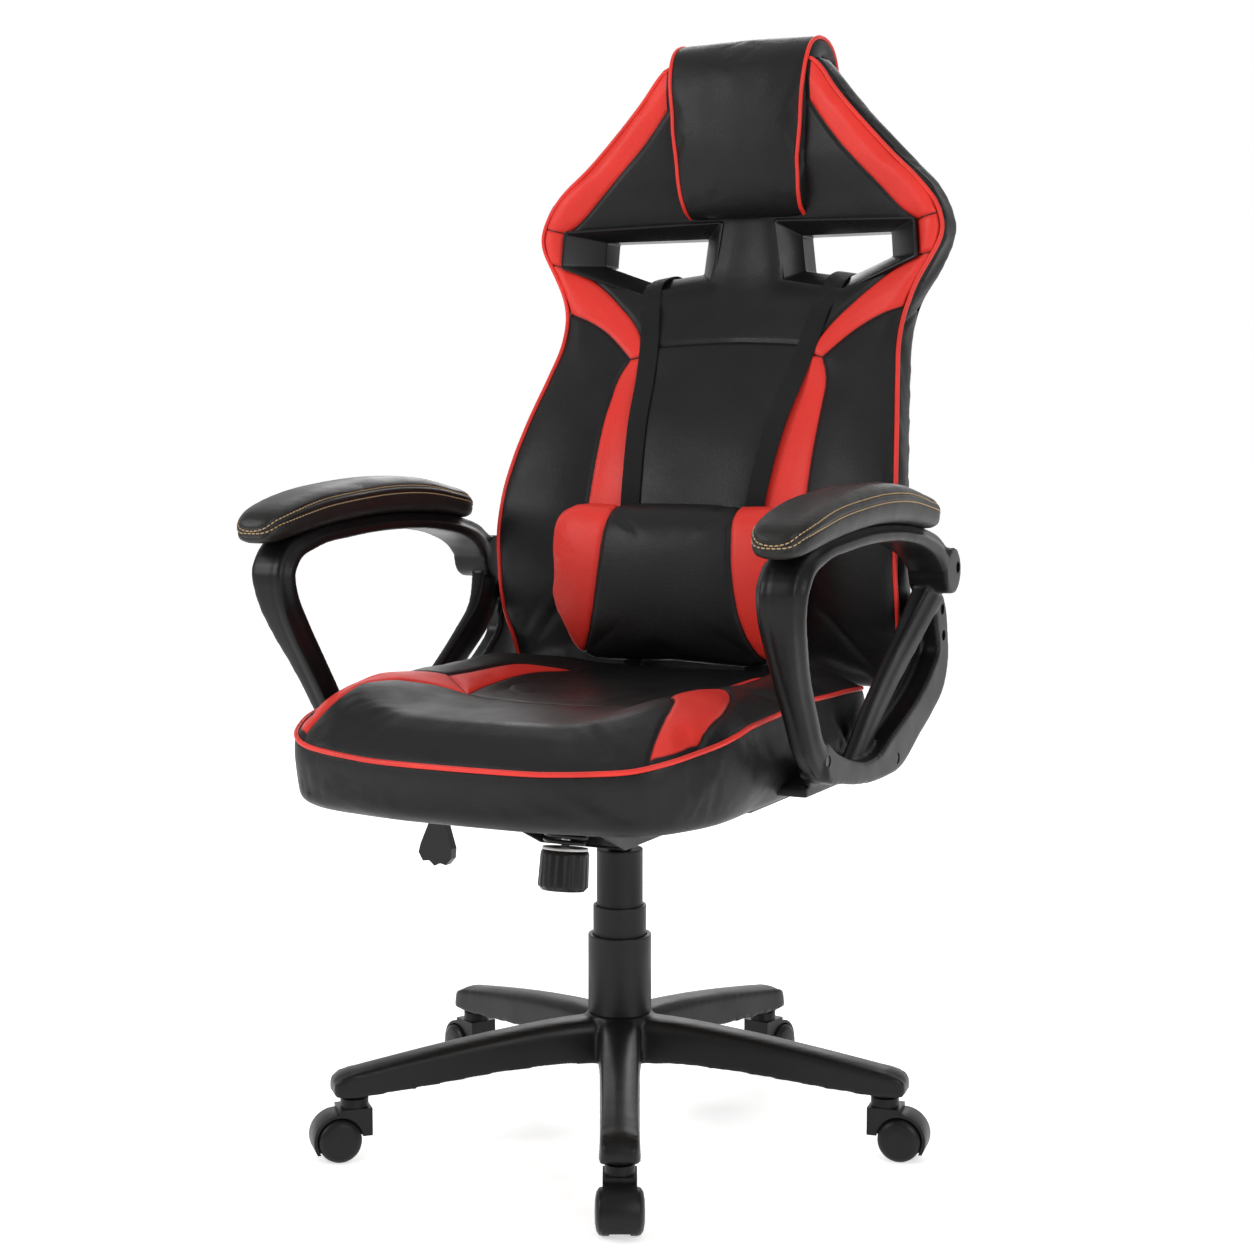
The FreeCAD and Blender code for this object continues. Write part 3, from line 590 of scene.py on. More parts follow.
def make_seat():
    seat = seat_form()
    remesh(seat, 0.006, 2)
    swell(seat, 4.0, 0.007, lambda p: p[:, 2] < SEAT_BASE + 0.004)
    subdivide(seat)
    stripe_out, stripe_in = smooth_line(SEAT_STRIPE_OUT, 40), smooth_line(SEAT_STRIPE_IN, 40)
    wedge_out, wedge_in = smooth_line(SEAT_WEDGE_OUT, 40), smooth_line(SEAT_WEDGE_IN, 40)
    cross = smooth_line(SEAT_CROSS, 40)
    kink = np.array([SEAT_WEDGE_OUT[0], SEAT_WEDGE_IN[-1]])
    lines = [stripe_out, stripe_in, wedge_out, wedge_in, kink]

    def folded(points):
        return np.column_stack([np.abs(points[:, 0]), points[:, 1]])

    def seams(points):
        near = [line_distance(folded(points), line) for line in lines]
        near.append(line_distance(points[:, :2], cross))
        return np.min(near, axis=0)

    refine(seat, lambda p: (seams(p) < 0.007) & (p[:, 2] > column(SEAT_EDGE, p[:, 1]) - 0.002))
    co = places(seat)
    top = normals(seat)[:, 2] > 0.2
    top &= co[:, 2] > column(SEAT_EDGE, co[:, 1]) - 0.006
    seam = np.where(top, seams(co), 1.0)
    sew(seat, seam, 0.0022, 0.0028, 0.003, 0.025)
    plan = folded(co)
    stripe = signed_distance(plan, np.vstack([stripe_out, stripe_in[::-1]]))
    wedge = signed_distance(plan, np.vstack([wedge_out, wedge_in[1:]]))
    red = np.maximum(stripe, wedge)
    red = np.minimum(red, 0.5 * (co[:, 2] - column(SEAT_EDGE, co[:, 1])))
    store(seat, "panel", red)
    # the seam distance also places the painted seam shadow in the leather colour
    store(seat, "seam", seam)
    plan = seat_ring(0.0, 260)
    edge = level(plan, column(SEAT_EDGE, plan[:, 1]))
    edge = relaxed(on_surface(seat, edge, 0.0014), 8, closed=True)
    bead = sweep("seat_piping", edge, circle(PIPING_R), (0, 0, 1), closed=True)
    finish_piece(seat, leather.material, "seat", ["seat_cushion"])
    finish_piece(bead, piping.material, "seat")


# ---- backrest ----
# height, half width, front face at the edge, front face at the middle
BACK = [
    (0.512, 0.262, 0.222, 0.230),
    (0.550, 0.268, 0.214, 0.222),
    (0.600, 0.275, 0.198, 0.210),
    (0.660, 0.273, 0.188, 0.203),
    (0.720, 0.271, 0.190, 0.206),
    (0.780, 0.264, 0.210, 0.224),
    (0.840, 0.254, 0.240, 0.252),
    (0.900, 0.243, 0.275, 0.299),
    (0.950, 0.237, 0.302, 0.335),
    (0.990, 0.244, 0.316, 0.361),
    (1.030, 0.266, 0.322, 0.379),
    (1.080, 0.284, 0.320, 0.384),
    (1.120, 0.270, 0.320, 0.384),
    (1.170, 0.222, 0.327, 0.384),
    (1.230, 0.164, 0.332, 0.384),
    (1.300, 0.106, 0.335, 0.384),
]
BACK_FINE = smooth_line(BACK, 400)
BACK_THICK, REAR_COVER = 0.0535, 0.0580
# one opening's outline (x, z), clockwise from its top inner corner
OPENING = np.array([(0.040, 1.097), (0.241, 1.088), (0.245, 1.045), (0.142, 1.007), (0.051, 1.022)])
WING_TOP = [(0.100, 1.240), (0.130, 1.200), (0.162, 1.165), (0.196, 1.130), (0.224, 1.102), (0.243, 1.088)]
WING_SIDE = [(0.243, 1.088), (0.247, 1.045)]
WING_LOW = [(0.247, 1.045), (0.230, 1.039), (0.210, 1.028), (0.190, 1.014), (0.163, 0.991), (0.137, 0.965),
            (0.122, 0.944), (0.112, 0.926)]
WING_UNDER = [(0.134, 0.921), (0.151, 0.937), (0.176, 0.957), (0.2075, 0.974), (0.240, 0.984)]
STRIPE_OUT = [(0.134, 0.921), (0.144, 0.8975), (0.1475, 0.862), (0.148, 0.80), (0.148, 0.74), (0.150, 0.60)]
STRIPE_IN = [(0.112, 0.926), (0.107, 0.88), (0.100, 0.82), (0.094, 0.76), (0.090, 0.60)]
BACK_CROSS = [(-0.106, 0.9375), (-0.05, 0.941), (0.0, 0.9425), (0.05, 0.941), (0.106, 0.9375)]


def back_row(z):
    """Half width, edge and middle of the backrest's front at a height."""
    return [np.interp(z, BACK_FINE[:, 0], BACK_FINE[:, k]) for k in (1, 2, 3)]


def back_board(x, z):
    """How far back the face of the board's plain curve lies."""
    half, edge, middle = back_row(z)
    return edge + (middle - edge) * (1 - np.clip(np.abs(x) / half, 0, 1) ** 1.5)


def back_face(x, z):
    """How far back the padded front face lies: flatter behind the pillow, hollow beside the bolsters."""
    half, edge, middle = back_row(z)
    across = np.clip(np.abs(x) / half, 0, 1)
    bend = 1.5 - 0.9 * ramp(z, 1.10, 1.18)
    valley = 0.012 * np.exp(-(((np.abs(x) - 0.13) / 0.04) ** 2)) * ramp(z, 0.66, 0.76) * (1 - ramp(z, 0.86, 0.94))
    return edge + (middle - edge) * (1 - across**bend) + valley


def back_form(name, near, far, narrower, low, high):
    """A layer of the backrest, from near to far behind its front face, with softened edges."""
    corner = 0.004
    rings = []
    for z in np.linspace(low, high, 170):
        half = back_row(z)[0] - narrower
        x = np.linspace(-1, 1, 49) * half
        front = (back_face(x, z) if near < 0.01 else back_board(x, z)) + near
        rear = back_board(x, z) + far
        round_off = corner * ramp(np.abs(x), half - 0.008, half)
        shrink = corner * (ramp(low + 0.006 - z, 0, 0.006) + ramp(z - high + 0.006, 0, 0.006))
        rings.append(np.vstack([
            np.column_stack([x, front + round_off + shrink, np.full(49, z)]),
            np.column_stack([x[::-1], (rear - round_off - shrink)[::-1], np.full(49, z)]),
        ]))
    return skin(name, rings)


def opening_tool(side, margin):
    """A prism through one opening of the backrest."""
    centre = OPENING.mean(0)
    outline = centre + (OPENING - centre) * (1 - margin / 0.06)
    rings = [np.column_stack([outline[:, 0] * side, np.full(5, y), outline[:, 1]]) for y in (0.25, 0.52)]
    return skin("opening", rings)


def make_back():
    low, high = BACK[0][0] + 0.002, BACK[-1][0] - 0.002
    back = back_form("back_cover", 0.001, BACK_THICK, 0.001, low, high)
    remesh(back, 0.006, 2)

    def held(points):
        return points[:, 1] > back_board(points[:, 0], points[:, 2]) + BACK_THICK - 0.008

    swell(back, 3.0, 0.006, held)
    subdivide(back)
    wing_top, wing_low = smooth_line(WING_TOP, 40), smooth_line(WING_LOW, 40)
    wing_under = smooth_line(WING_UNDER, 40)
    stripe_out, stripe_in = smooth_line(STRIPE_OUT, 60), smooth_line(STRIPE_IN, 60)
    cross = smooth_line(BACK_CROSS, 30)
    junction = np.array([STRIPE_IN[0], STRIPE_OUT[0]])
    ties = [np.array([(0.243, 1.088), (0.290, 1.100)]), np.array([(0.247, 1.045), (0.285, 1.050)])]
    lines = [wing_top, np.array(WING_SIDE), wing_low, wing_under, stripe_out, stripe_in, junction] + ties
    wing = np.vstack([wing_top, wing_low, wing_under, [(0.32, 0.984), (0.34, 1.10), (0.26, 1.24), (0.10, 1.40)]])
    stripe = np.vstack([stripe_out, stripe_in[::-1]])
    rim_in = 0.0075

    def seen(points):
        """Points seen from the front, as (|x|, z)."""
        return np.column_stack([np.abs(points[:, 0]), points[:, 2]])

    def seams(points):
        flat = seen(points)
        near = [line_distance(flat, line) for line in lines]
        near.append(line_distance(points[:, ::2], cross))
        rim = np.abs(back_row(points[:, 2])[0] - rim_in - flat[:, 0])
        near.append(np.where(signed_distance(flat, wing) > -0.002, rim, 1.0))
        return np.min(near, axis=0)

    def front(points):
        return points[:, 1] < back_face(points[:, 0], points[:, 2]) + 0.012

    refine(back, lambda p: (seams(p) < 0.007) & front(p))
    co = places(back)
    side_seam = np.where(front(co), 1.0, np.abs(co[:, 2] - 0.965 - 0.5 * (co[:, 1] - 0.33)))
    seam = np.where(front(co), seams(co), side_seam)
    sew(back, seam, 0.0022, 0.0028, 0.0025, 0.025)
    flat = seen(co)
    rim = np.vstack([OPENING, OPENING[:1]])
    sunk = places(back)
    sunk[:, 1] += np.where(front(co), 0.005 * np.exp(-((line_distance(flat, rim) / 0.014) ** 2)), 0)
    set_places(back, sunk)
    red = np.maximum(signed_distance(flat, wing), signed_distance(flat, stripe))
    face = back_face(co[:, 0], co[:, 2])
    red = np.minimum(red, (face + 0.006 - co[:, 1]) * 0.5)
    store(back, "panel", red)
    # the seam distance also places the painted seam shadow in the leather colour
    store(back, "seam", seam)
    cut(back, opening_tool(1, 0.0006), opening_tool(-1, 0.0006))

    edge = [(side * (back_row(z)[0] - 0.001), back_row(z)[1] + 0.0025, z)
            for side, heights in ((-1, np.linspace(0.524, high, 130)), (1, np.linspace(high, 0.524, 130)))
            for z in heights]
    edge = relaxed(on_surface(back, smooth_line(edge, 420), 0.0014), 14)
    bead = sweep("back_piping", edge, circle(PIPING_R), (0, 1, 0))

    rear = back_form("back_rear_panel", BACK_THICK - 0.001, REAR_COVER, 0.004, low + 0.003, high - 0.003)
    store(rear, "panel", np.full(len(rear.data.vertices), -1.0))
    store(rear, "seam", np.full(len(rear.data.vertices), 1.0))
    cut(rear, opening_tool(1, 0.0006), opening_tool(-1, 0.0006))
    finish_piece(back, leather.material, "seat", ["back_cushion"], 50)
    finish_piece(bead, piping.material, "seat")
    finish_piece(rear, leather.material, "seat", ["back_rear_cover"], 50)
    return back


# ---- bezels ----
# the outline (x, z) where an opening's funnel has narrowed, corner by corner with OPENING
OPENING_NARROW = np.array([(0.0665, 1.080), (0.200, 1.0775), (0.2025, 1.0465), (0.140, 1.0237), (0.0725, 1.0337)])
BEZEL_FRONT, BEZEL_SLANT, FUNNEL, BEZEL_DEEP = 0.389, -0.25, 0.026, 0.066


def grown(outline, by):
    """A convex outline, with its edges moved outwards."""
    centre = outline.mean(0)
    moved = []
    for i in range(len(outline)):
        corner = []
        for a, b in ((outline[i - 1], outline[i]), (outline[i], outline[(i + 1) % len(outline)])):
            run = (b - a) / np.linalg.norm(b - a)
            out = np.array([run[1], -run[0]])
            out *= np.sign(out @ (a - centre))
            corner.append((out, out @ a + by))
        moved.append(np.linalg.solve([c[0] for c in corner], [c[1] for c in corner]))
    return np.array(moved)


def soft_corners(outline, radius, points=5):
    """A convex outline with its corners rounded off."""
    found = []
    for i in range(len(outline)):
        before, at, after = outline[i - 1], outline[i], outline[(i + 1) % len(outline)]
        start = at + (before - at) / np.linalg.norm(before - at) * radius
        end = at + (after - at) / np.linalg.norm(after - at) * radius
        for t in np.linspace(0, 1, points):
            found.append((1 - t) ** 2 * start + 2 * t * (1 - t) * at + t * t * end)
    return np.array(found)


def make_bezels():
    """The moulded frame of each opening: lip, funnel, sleeve and rear flange."""
    stages = [
        (OPENING, 0.0040, 0.0040, 0.004), (OPENING, 0.0040, -0.0020, 0.004), (OPENING, 0.0034, -0.0034, 0.004),
        (OPENING, 0.0022, -0.0042, 0.004), (OPENING, 0.0008, -0.0040, 0.004), (OPENING, -0.0006, -0.0026, 0.0035),
        (OPENING_NARROW, 0.0010, FUNNEL - 0.0012, 0.0025), (OPENING_NARROW, 0.0, FUNNEL + 0.0008, 0.0025),
        (OPENING_NARROW, 0.0, BEZEL_DEEP - 0.001, 0.0025), (OPENING_NARROW, 0.001, BEZEL_DEEP, 0.0025),
        (OPENING, 0.006, BEZEL_DEEP, 0.004), (OPENING, 0.007, BEZEL_DEEP - 0.001, 0.004),
        (OPENING, 0.007, BEZEL_DEEP - 0.004, 0.004), (OPENING, -0.0016, BEZEL_DEEP - 0.004, 0.004),
        (OPENING, -0.0016, 0.0045, 0.004),
    ]
    rings = []
    for outline, out, deep, radius in stages:
        ring = soft_corners(grown(outline, out), radius)
        y = BEZEL_FRONT + BEZEL_SLANT * ring[:, 0] + deep
        rings.append(np.column_stack([ring[:, 0], y, ring[:, 1]]))
    left = skin("bezel_left_frame", rings, closed=True)
    right = mirror(left, "bezel_right_frame")
    finish_piece(left, gloss_nylon.material, "seat", ["bezel_left", "bezel_rear_rims"], 24)
    finish_piece(right, gloss_nylon.material, "seat", ["bezel_right"], 24)


# ---- pillows ----
# the head pillow's side outline (y, z): round the front and over the top, then back under its two lobes
PILLOW_SIDE = [(0.380, 1.103), (0.368, 1.103), (0.347, 1.122), (0.333, 1.170), (0.330, 1.230), (0.333, 1.284),
               (0.347, 1.314), (0.374, 1.328), (0.413, 1.326), (0.441, 1.308), (0.455, 1.283), (0.458, 1.225),
               (0.452, 1.214), (0.446, 1.225), (0.4435, 1.270), (0.436, 1.299), (0.412, 1.3045), (0.388, 1.302),
               (0.382, 1.290), (0.3815, 1.180)]
PILLOW_HALF = [(1.09, 0.083), (1.21, 0.093), (1.33, 0.100)]


def make_head_pillow():
    section = smooth_line(PILLOW_SIDE, 110, closed=True)
    centre = np.array([0.385, 1.31])

    def ring(across, size, grow):
        bulge = grow * np.where(section[:, 0] < 0.40, 1.0, 0.4) * (section[:, 0] < 0.379)
        y, z = section[:, 0] - bulge, section[:, 1]
        y, z = centre[0] + (y - centre[0]) * size, centre[1] + (z - centre[1]) * (0.5 + 0.5 * size)
        return np.column_stack([across * column(PILLOW_HALF, z), y, z])

    rings = [ring(t, size, grow) for t, size, grow in
             ((-1.0, 0.93, 0), (-0.97, 0.99, 0), (-0.85, 1.0, 0.002), (-0.5, 1.0, 0.005), (0, 1.0, 0.006),
              (0.5, 1.0, 0.005), (0.85, 1.0, 0.002), (0.97, 0.99, 0), (1.0, 0.93, 0))]
    pillow = skin("head_pillow_cover", rings)
    remesh(pillow, 0.005, 2)
    swell(pillow, 3.0, 0.004, lambda p: (p[:, 1] > 0.376) & (p[:, 1] < 0.448) & (p[:, 2] < 1.308))
    subdivide(pillow)
    co = places(pillow)
    seam = np.abs(np.abs(co[:, 0]) - 0.97 * column(PILLOW_HALF, co[:, 2]))
    sew(pillow, seam, 0.0015, 0.003, 0.0, 0.02)
    store(pillow, "panel", np.full(len(co), -1.0))
    store(pillow, "seam", np.full(len(co), 1.0))
    around = section[(section[:, 0] < 0.379) | (section[:, 1] > 1.3055) | (section[:, 0] > 0.4475)]
    start = int(np.argmax(np.linalg.norm(np.roll(around, 1, axis=0) - around, axis=1)))
    around = np.roll(around, -start, axis=0)
    beads = []
    for side in (-1, 1):
        path = np.column_stack([side * 0.975 * column(PILLOW_HALF, around[:, 1]), around])
        path = on_surface(pillow, path, 0.0012)
        beads.append(sweep("bead", smooth_line(path[::3], 160), circle(0.0027), (1, 0, 0)))
    bead = join("head_pillow_piping", beads)
    finish_piece(pillow, leather.material, "seat", ["head_pillow"])
    finish_piece(bead, piping.material, "seat")


LUMBAR_Y, LUMBAR_Z = 0.160, 0.641
LUMBAR_DEEP, LUMBAR_TALL = 0.037, 0.100
# distance from the middle, size of the section there
LUMBAR_ROLL = [(0.0, 1.0), (0.05, 1.0), (0.09, 0.985), (0.12, 0.955), (0.14, 0.90), (0.155, 0.78), (0.164, 0.60)]
# the seam between the black front and a red end: height, distance from the middle
LUMBAR_SEAM = [(0.545, 0.128), (0.560, 0.116), (0.580, 0.1058), (0.610, 0.097), (0.640, 0.0919), (0.670, 0.0882),
               (0.700, 0.0861), (0.720, 0.0837), (0.745, 0.081)]


def make_lumbar_pillow():
    turn = np.linspace(0, 2 * math.pi, 56, endpoint=False)

    def ring(x):
        size = column(LUMBAR_ROLL, abs(x))
        fat = np.sign(np.cos(turn)) * np.abs(np.cos(turn)) ** 0.8
        tall = np.sign(np.sin(turn)) * np.abs(np.sin(turn)) ** 0.9
        squeeze = 1 - 0.12 * ramp(-tall, 0.2, 1.0) * ramp(abs(x), 0.09, 0.16)
        return np.column_stack([
            np.full(56, x) * squeeze,
            LUMBAR_Y + LUMBAR_DEEP * size * fat,
            LUMBAR_Z + LUMBAR_TALL * (0.4 + 0.6 * size) * tall,
        ])

    half = [row[0] for row in LUMBAR_ROLL]
    stations = [-x for x in reversed(half)] + half[1:]
    pillow = skin("lumbar_pillow_cover", [ring(x) for x in stations])
    remesh(pillow, 0.005, 3)
    swell(pillow, 4.0, 0.008, lambda p: p[:, 1] > LUMBAR_Y + 0.6 * LUMBAR_DEEP)
    subdivide(pillow)

    def from_seam(points):
        """Signed distance across the seam, positive on the red side."""
        return (np.abs(points[:, 0]) - column(LUMBAR_SEAM, points[:, 2])) * 0.97

    refine(pillow, lambda p: np.abs(from_seam(p)) < 0.007)
    co = places(pillow)
    red = from_seam(co)
    sew(pillow, np.abs(red), 0.0024, 0.003, 0.003, 0.03)
    store(pillow, "panel", red)
    # the seam distance also places the painted seam shadow in the leather colour
    store(pillow, "seam", np.abs(red))
    finish_piece(pillow, leather.material, "seat", ["lumbar_pillow"])


# ---- straps ----
# down the front of the backrest, over the bezel, down behind it and back under the backrest
STRAP_FRONT = [
    (0.084, 0.690), (0.085, 0.730), (0.089, 0.780), (0.096, 0.840), (0.105, 0.900), (0.113, 0.950), (0.119, 0.982),
]
STRAP_REST = [
    (0.1245, 0.3455, 1.0005), (0.1265, 0.3500, 1.0085), (0.1275, 0.3580, 1.0165), (0.128, 0.3830, 1.0272),
    (0.128, 0.4250, 1.0285), (0.128, 0.4365, 1.0235), (0.127, 0.4360, 0.996), (0.112, 0.386, 0.840),
    (0.086, 0.294, 0.560), (0.084, 0.288, 0.514), (0.084, 0.277, 0.5065), (0.084, 0.222, 0.5065),
    (0.084, 0.209, 0.520), (0.084, 0.205, 0.560),
]
STRAP_HALF, STRAP_THICK, STRAP_FALL = 0.013, 0.0017, -0.165


def make_strap(back):
    """The left strap lies on the finished back; the right one mirrors it."""
    tree = BVHTree.FromPolygons([Vector(p) for p in places(back)], [tuple(f.vertices) for f in back.data.polygons])
    front = []
    for x, z in STRAP_FRONT:
        hits = [tree.ray_cast(Vector((x + across, 0, z)), Vector((0, 1, 0)))[0] for across in (-0.013, 0, 0.013)]
        front.append((x, min(hit.y for hit in hits) - 0.0022, z))
    path = smooth_line(front + STRAP_REST, 240)
    tilt = STRAP_FALL * ramp(path[:, 2], 1.000, 1.022)
    up = np.column_stack([np.ones(len(path)), np.zeros(len(path)), tilt])
    strap = sweep("strap_left_band", path, rounded(STRAP_HALF, STRAP_THICK / 2, 5.0, 20), up)
    twin = mirror(strap, "strap_right_band")
    finish_piece(strap, webbing.material, "seat", ["strap_left"], 50)
    finish_piece(twin, webbing.material, "seat", ["strap_right"], 50)


# ---- armrests ----
ARM_IN, ARM_OUT, ARM_LOW = 0.280, 0.337, 0.314
# the front leg and the top bar: y, z, thickness, inner x, outer x
ARM_BAR = [
    (-0.118, 0.470, 0.028, ARM_IN, ARM_LOW), (-0.157, 0.499, 0.027, ARM_IN, ARM_LOW),
    (-0.183, 0.535, 0.026, ARM_IN, ARM_LOW + 0.002), (-0.208, 0.570, 0.026, ARM_IN, ARM_LOW + 0.005),
    (-0.236, 0.610, 0.026, ARM_IN, ARM_LOW + 0.012), (-0.255, 0.645, 0.024, ARM_IN, ARM_LOW + 0.018),
    (-0.259, 0.672, 0.023, ARM_IN, ARM_OUT - 0.001), (-0.246, 0.692, 0.022, ARM_IN, ARM_OUT),
    (-0.205, 0.707, 0.020, ARM_IN, ARM_OUT), (-0.130, 0.716, 0.020, ARM_IN, ARM_OUT),
    (-0.040, 0.720, 0.020, ARM_IN, ARM_OUT), (0.060, 0.716, 0.021, ARM_IN, ARM_OUT),
    (0.130, 0.706, 0.025, ARM_IN, ARM_OUT), (0.176, 0.692, 0.032, ARM_IN + 0.004, ARM_OUT),
    (0.204, 0.674, 0.040, ARM_IN + 0.008, ARM_OUT),
]
ARM_BRACE = [
    (-0.016, 0.453, 0.034, ARM_IN + 0.001, ARM_IN + 0.019), (0.010, 0.472, 0.034, ARM_IN + 0.001, ARM_IN + 0.019),
    (0.045, 0.500, 0.036, ARM_IN + 0.001, ARM_IN + 0.019),
    (0.120, 0.552, 0.038, ARM_IN + 0.001, ARM_IN + 0.020), (0.180, 0.596, 0.040, ARM_IN + 0.002, ARM_IN + 0.026),
    (0.214, 0.640, 0.042, ARM_IN + 0.008, ARM_IN + 0.040),
]
# side outlines (y, z) of the bottom rail with the rear flange, and of its inner wall
ARM_RAIL = [
    (-0.135, 0.466), (-0.080, 0.451), (-0.022, 0.4425), (0.048, 0.4395), (0.101, 0.444), (0.165, 0.472),
    (0.212, 0.493), (0.256, 0.521), (0.270, 0.553), (0.267, 0.584), (0.257, 0.618), (0.243, 0.634),
    (0.225, 0.630), (0.222, 0.604), (0.232, 0.568), (0.204, 0.542), (0.165, 0.520), (0.111, 0.499),
    (0.062, 0.482), (0.030, 0.470), (-0.004, 0.466), (-0.062, 0.475), (-0.109, 0.490), (-0.138, 0.503),
]
ARM_WALL = [
    (0.040, 0.460), (0.110, 0.470), (0.200, 0.510), (0.240, 0.560), (0.240, 0.600), (0.216, 0.596),
    (0.214, 0.572), (0.192, 0.551), (0.160, 0.530), (0.108, 0.508), (0.062, 0.492), (0.040, 0.480),
]
SIDE_SCREWS = [(-0.136, 0.484), (0.085, 0.456)]
BACK_BOLTS = [(0.248, 0.583), (0.242, 0.615)]
KNUCKLE = (0.214, 0.664)
KNUCKLE_R = 0.0275
KNUCKLE_SCREW = (0.228, 0.667)


def bar(stations, face=1):
    """A moulded bar through (y, z, thickness, inner x, outer x) stations; face turns its broad side over."""
    rows = smooth_line(stations, 6 * len(stations))
    run = np.gradient(rows[:, :2], axis=0)
    run /= np.linalg.norm(run, axis=1)[:, None]
    rings = []
    for (y, z, thick, x0, x1), (dy, dz) in zip(rows, run):
        wide, half = (x1 - x0) / 2, thick / 2
        side = [(0.55, 1.0), (0.90, 0.98), (0.985, 0.84), (1.0, 0.6), (1.0, 0.12), (0.97, 0.02), (0.80, -0.30),
                (0.74, -0.60), (0.68, -0.92), (0.45, -1.0)]
        section = np.array([(wide * a, -half * b * face) for a, b in side])
        section = np.vstack([section, section[::-1] * (-1, 1)])
        rings.append(np.column_stack([
            (x0 + x1) / 2 + section[:, 0],
            y - dz * section[:, 1],
            z + dy * section[:, 1],
        ]))
    return skin("bar", rings)


def plate(outline, x0, x1):
    """A smooth side outline of (y, z), as thick as from x0 to x1."""
    side = smooth_line(outline, 8 * len(outline), closed=True)
    return skin("plate", [np.column_stack([np.full(len(side), x), side]) for x in (x0, x1)])


def block(x0, x1, y0, y1, z0, z1):
    ring = [(y0, z0), (y1, z0), (y1, z1), (y0, z1)]
    return skin("block", [np.array([(x, y, z) for y, z in ring]) for x in (x0, x1)])


def peg(y, z, radius, x0, x1):
    """A round tool or boss along X."""
    ring = np.array(circle(radius, 40))
    return skin("peg", [np.column_stack([np.full(40, x), y + ring[:, 0], z + ring[:, 1]]) for x in (x0, x1)])


def make_arm_frames():
    tongue_low, tongue_high = 0.4188, 0.4268
    parts = [
        bar(ARM_BAR),
        bar(ARM_BRACE),
        plate(ARM_RAIL, ARM_IN, ARM_LOW),
        plate(ARM_WALL, ARM_IN, ARM_IN + 0.009),
        peg(*KNUCKLE, KNUCKLE_R, ARM_IN + 0.008, ARM_OUT),
        block(0.214, ARM_IN + 0.006, -0.128, 0.095, 0.441, 0.453),
        block(0.212, 0.222, -0.128, 0.095, tongue_low, 0.453),
        block(0.140, 0.222, -0.128, 0.095, tongue_low, tongue_high),
    ]
    arm = join("arm_left_frame", parts)
    remesh(arm, 0.0024, 4)
    co = places(arm)
    leg = smooth_line([(0.299, -0.268, 0.676), (0.298, -0.262, 0.645), (0.297, -0.240, 0.600),
                       (0.297, -0.205, 0.545), (0.297, -0.160, 0.497), (0.297, -0.120, 0.462)], 60)
    near = line_distance(co[:, 1:], leg[:, 1:])
    groove = np.where((near < 0.02) & (normals(arm)[:, 1] < -0.3), np.abs(co[:, 0] - 0.2975), 1.0)
    sew(arm, groove, 0.0009, 0.0016)
    holes = [peg(y, z, 0.0064, ARM_LOW - 0.0042, 0.36) for y, z in SIDE_SCREWS]
    holes += [peg(y, z, 0.0066, ARM_LOW - 0.008, 0.36) for y, z in BACK_BOLTS]
    holes.append(peg(*KNUCKLE_SCREW, 0.0069, ARM_OUT - 0.008, 0.36))
    cut(arm, *holes)
    twin = mirror(arm, "arm_right_frame")
    finish_piece(arm, arm_nylon.material, "seat", ["arm_frame_left"], 40)
    finish_piece(twin, arm_nylon.material, "seat", ["arm_frame_right"], 40)


PAD_X = 0.3115
# y, underside, top, half width
PAD = [
    (-0.290, 0.7075, 0.724, 0.015), (-0.284, 0.705, 0.736, 0.024), (-0.270, 0.706, 0.744, 0.030),
    (-0.245, 0.710, 0.752, 0.0335), (-0.200, 0.7165, 0.762, 0.0345), (-0.120, 0.7245, 0.770, 0.0345),
    (-0.040, 0.7285, 0.774, 0.0345), (0.040, 0.7265, 0.771, 0.0345), (0.100, 0.7215, 0.761, 0.0335),
    (0.140, 0.7165, 0.751, 0.0315), (0.151, 0.7165, 0.743, 0.026),
]
STITCH, STITCH_GAP, THREAD_R = 0.0036, 0.0020, 0.00068


def pad_side(across, height, inset):
    """A line round the pad's front and sides, at a share of its half width and height."""
    rows = smooth_line(PAD, 90)
    rows = rows[(rows[:, 0] > PAD[0][0] + inset)]
    left = np.column_stack([PAD_X - across * rows[:, 3], rows[:, 0], rows[:, 1] + height * (rows[:, 2] - rows[:, 1])])
    right = left * (-1, 1, 1) + (2 * PAD_X, 0, 0)
    return smooth_line(np.vstack([left[::-4], right[::4]]), 400)


def stitches(path, lift_mesh):
    """A row of thread stitches along a path."""
    run = np.linalg.norm(np.diff(path, axis=0), axis=1)
    along = np.r_[0, np.cumsum(run)]
    pieces = []
    starts = np.arange(0.004, along[-1] - 0.006, STITCH + STITCH_GAP)
    for start in starts:
        at = start + STITCH * np.array([0.0, 0.18, 0.5, 0.82, 1.0])
        line = np.column_stack([np.interp(at, along, path[:, k]) for k in range(3)])
        pieces.append(line)
    flat = on_surface(lift_mesh, np.vstack(pieces), 0.0)
    raised = on_surface(lift_mesh, np.vstack(pieces), 0.00045)
    up = raised - flat
    rise = np.tile([-0.6, 0.6, 1.0, 0.6, -0.6], len(pieces))[:, None]
    lines = (flat + up * rise).reshape(len(pieces), 5, 3)
    rows = []
    for line in lines:
        rows.append(sweep("stitch", line, circle(THREAD_R, 6), (0, 0, 1)))
    return rows


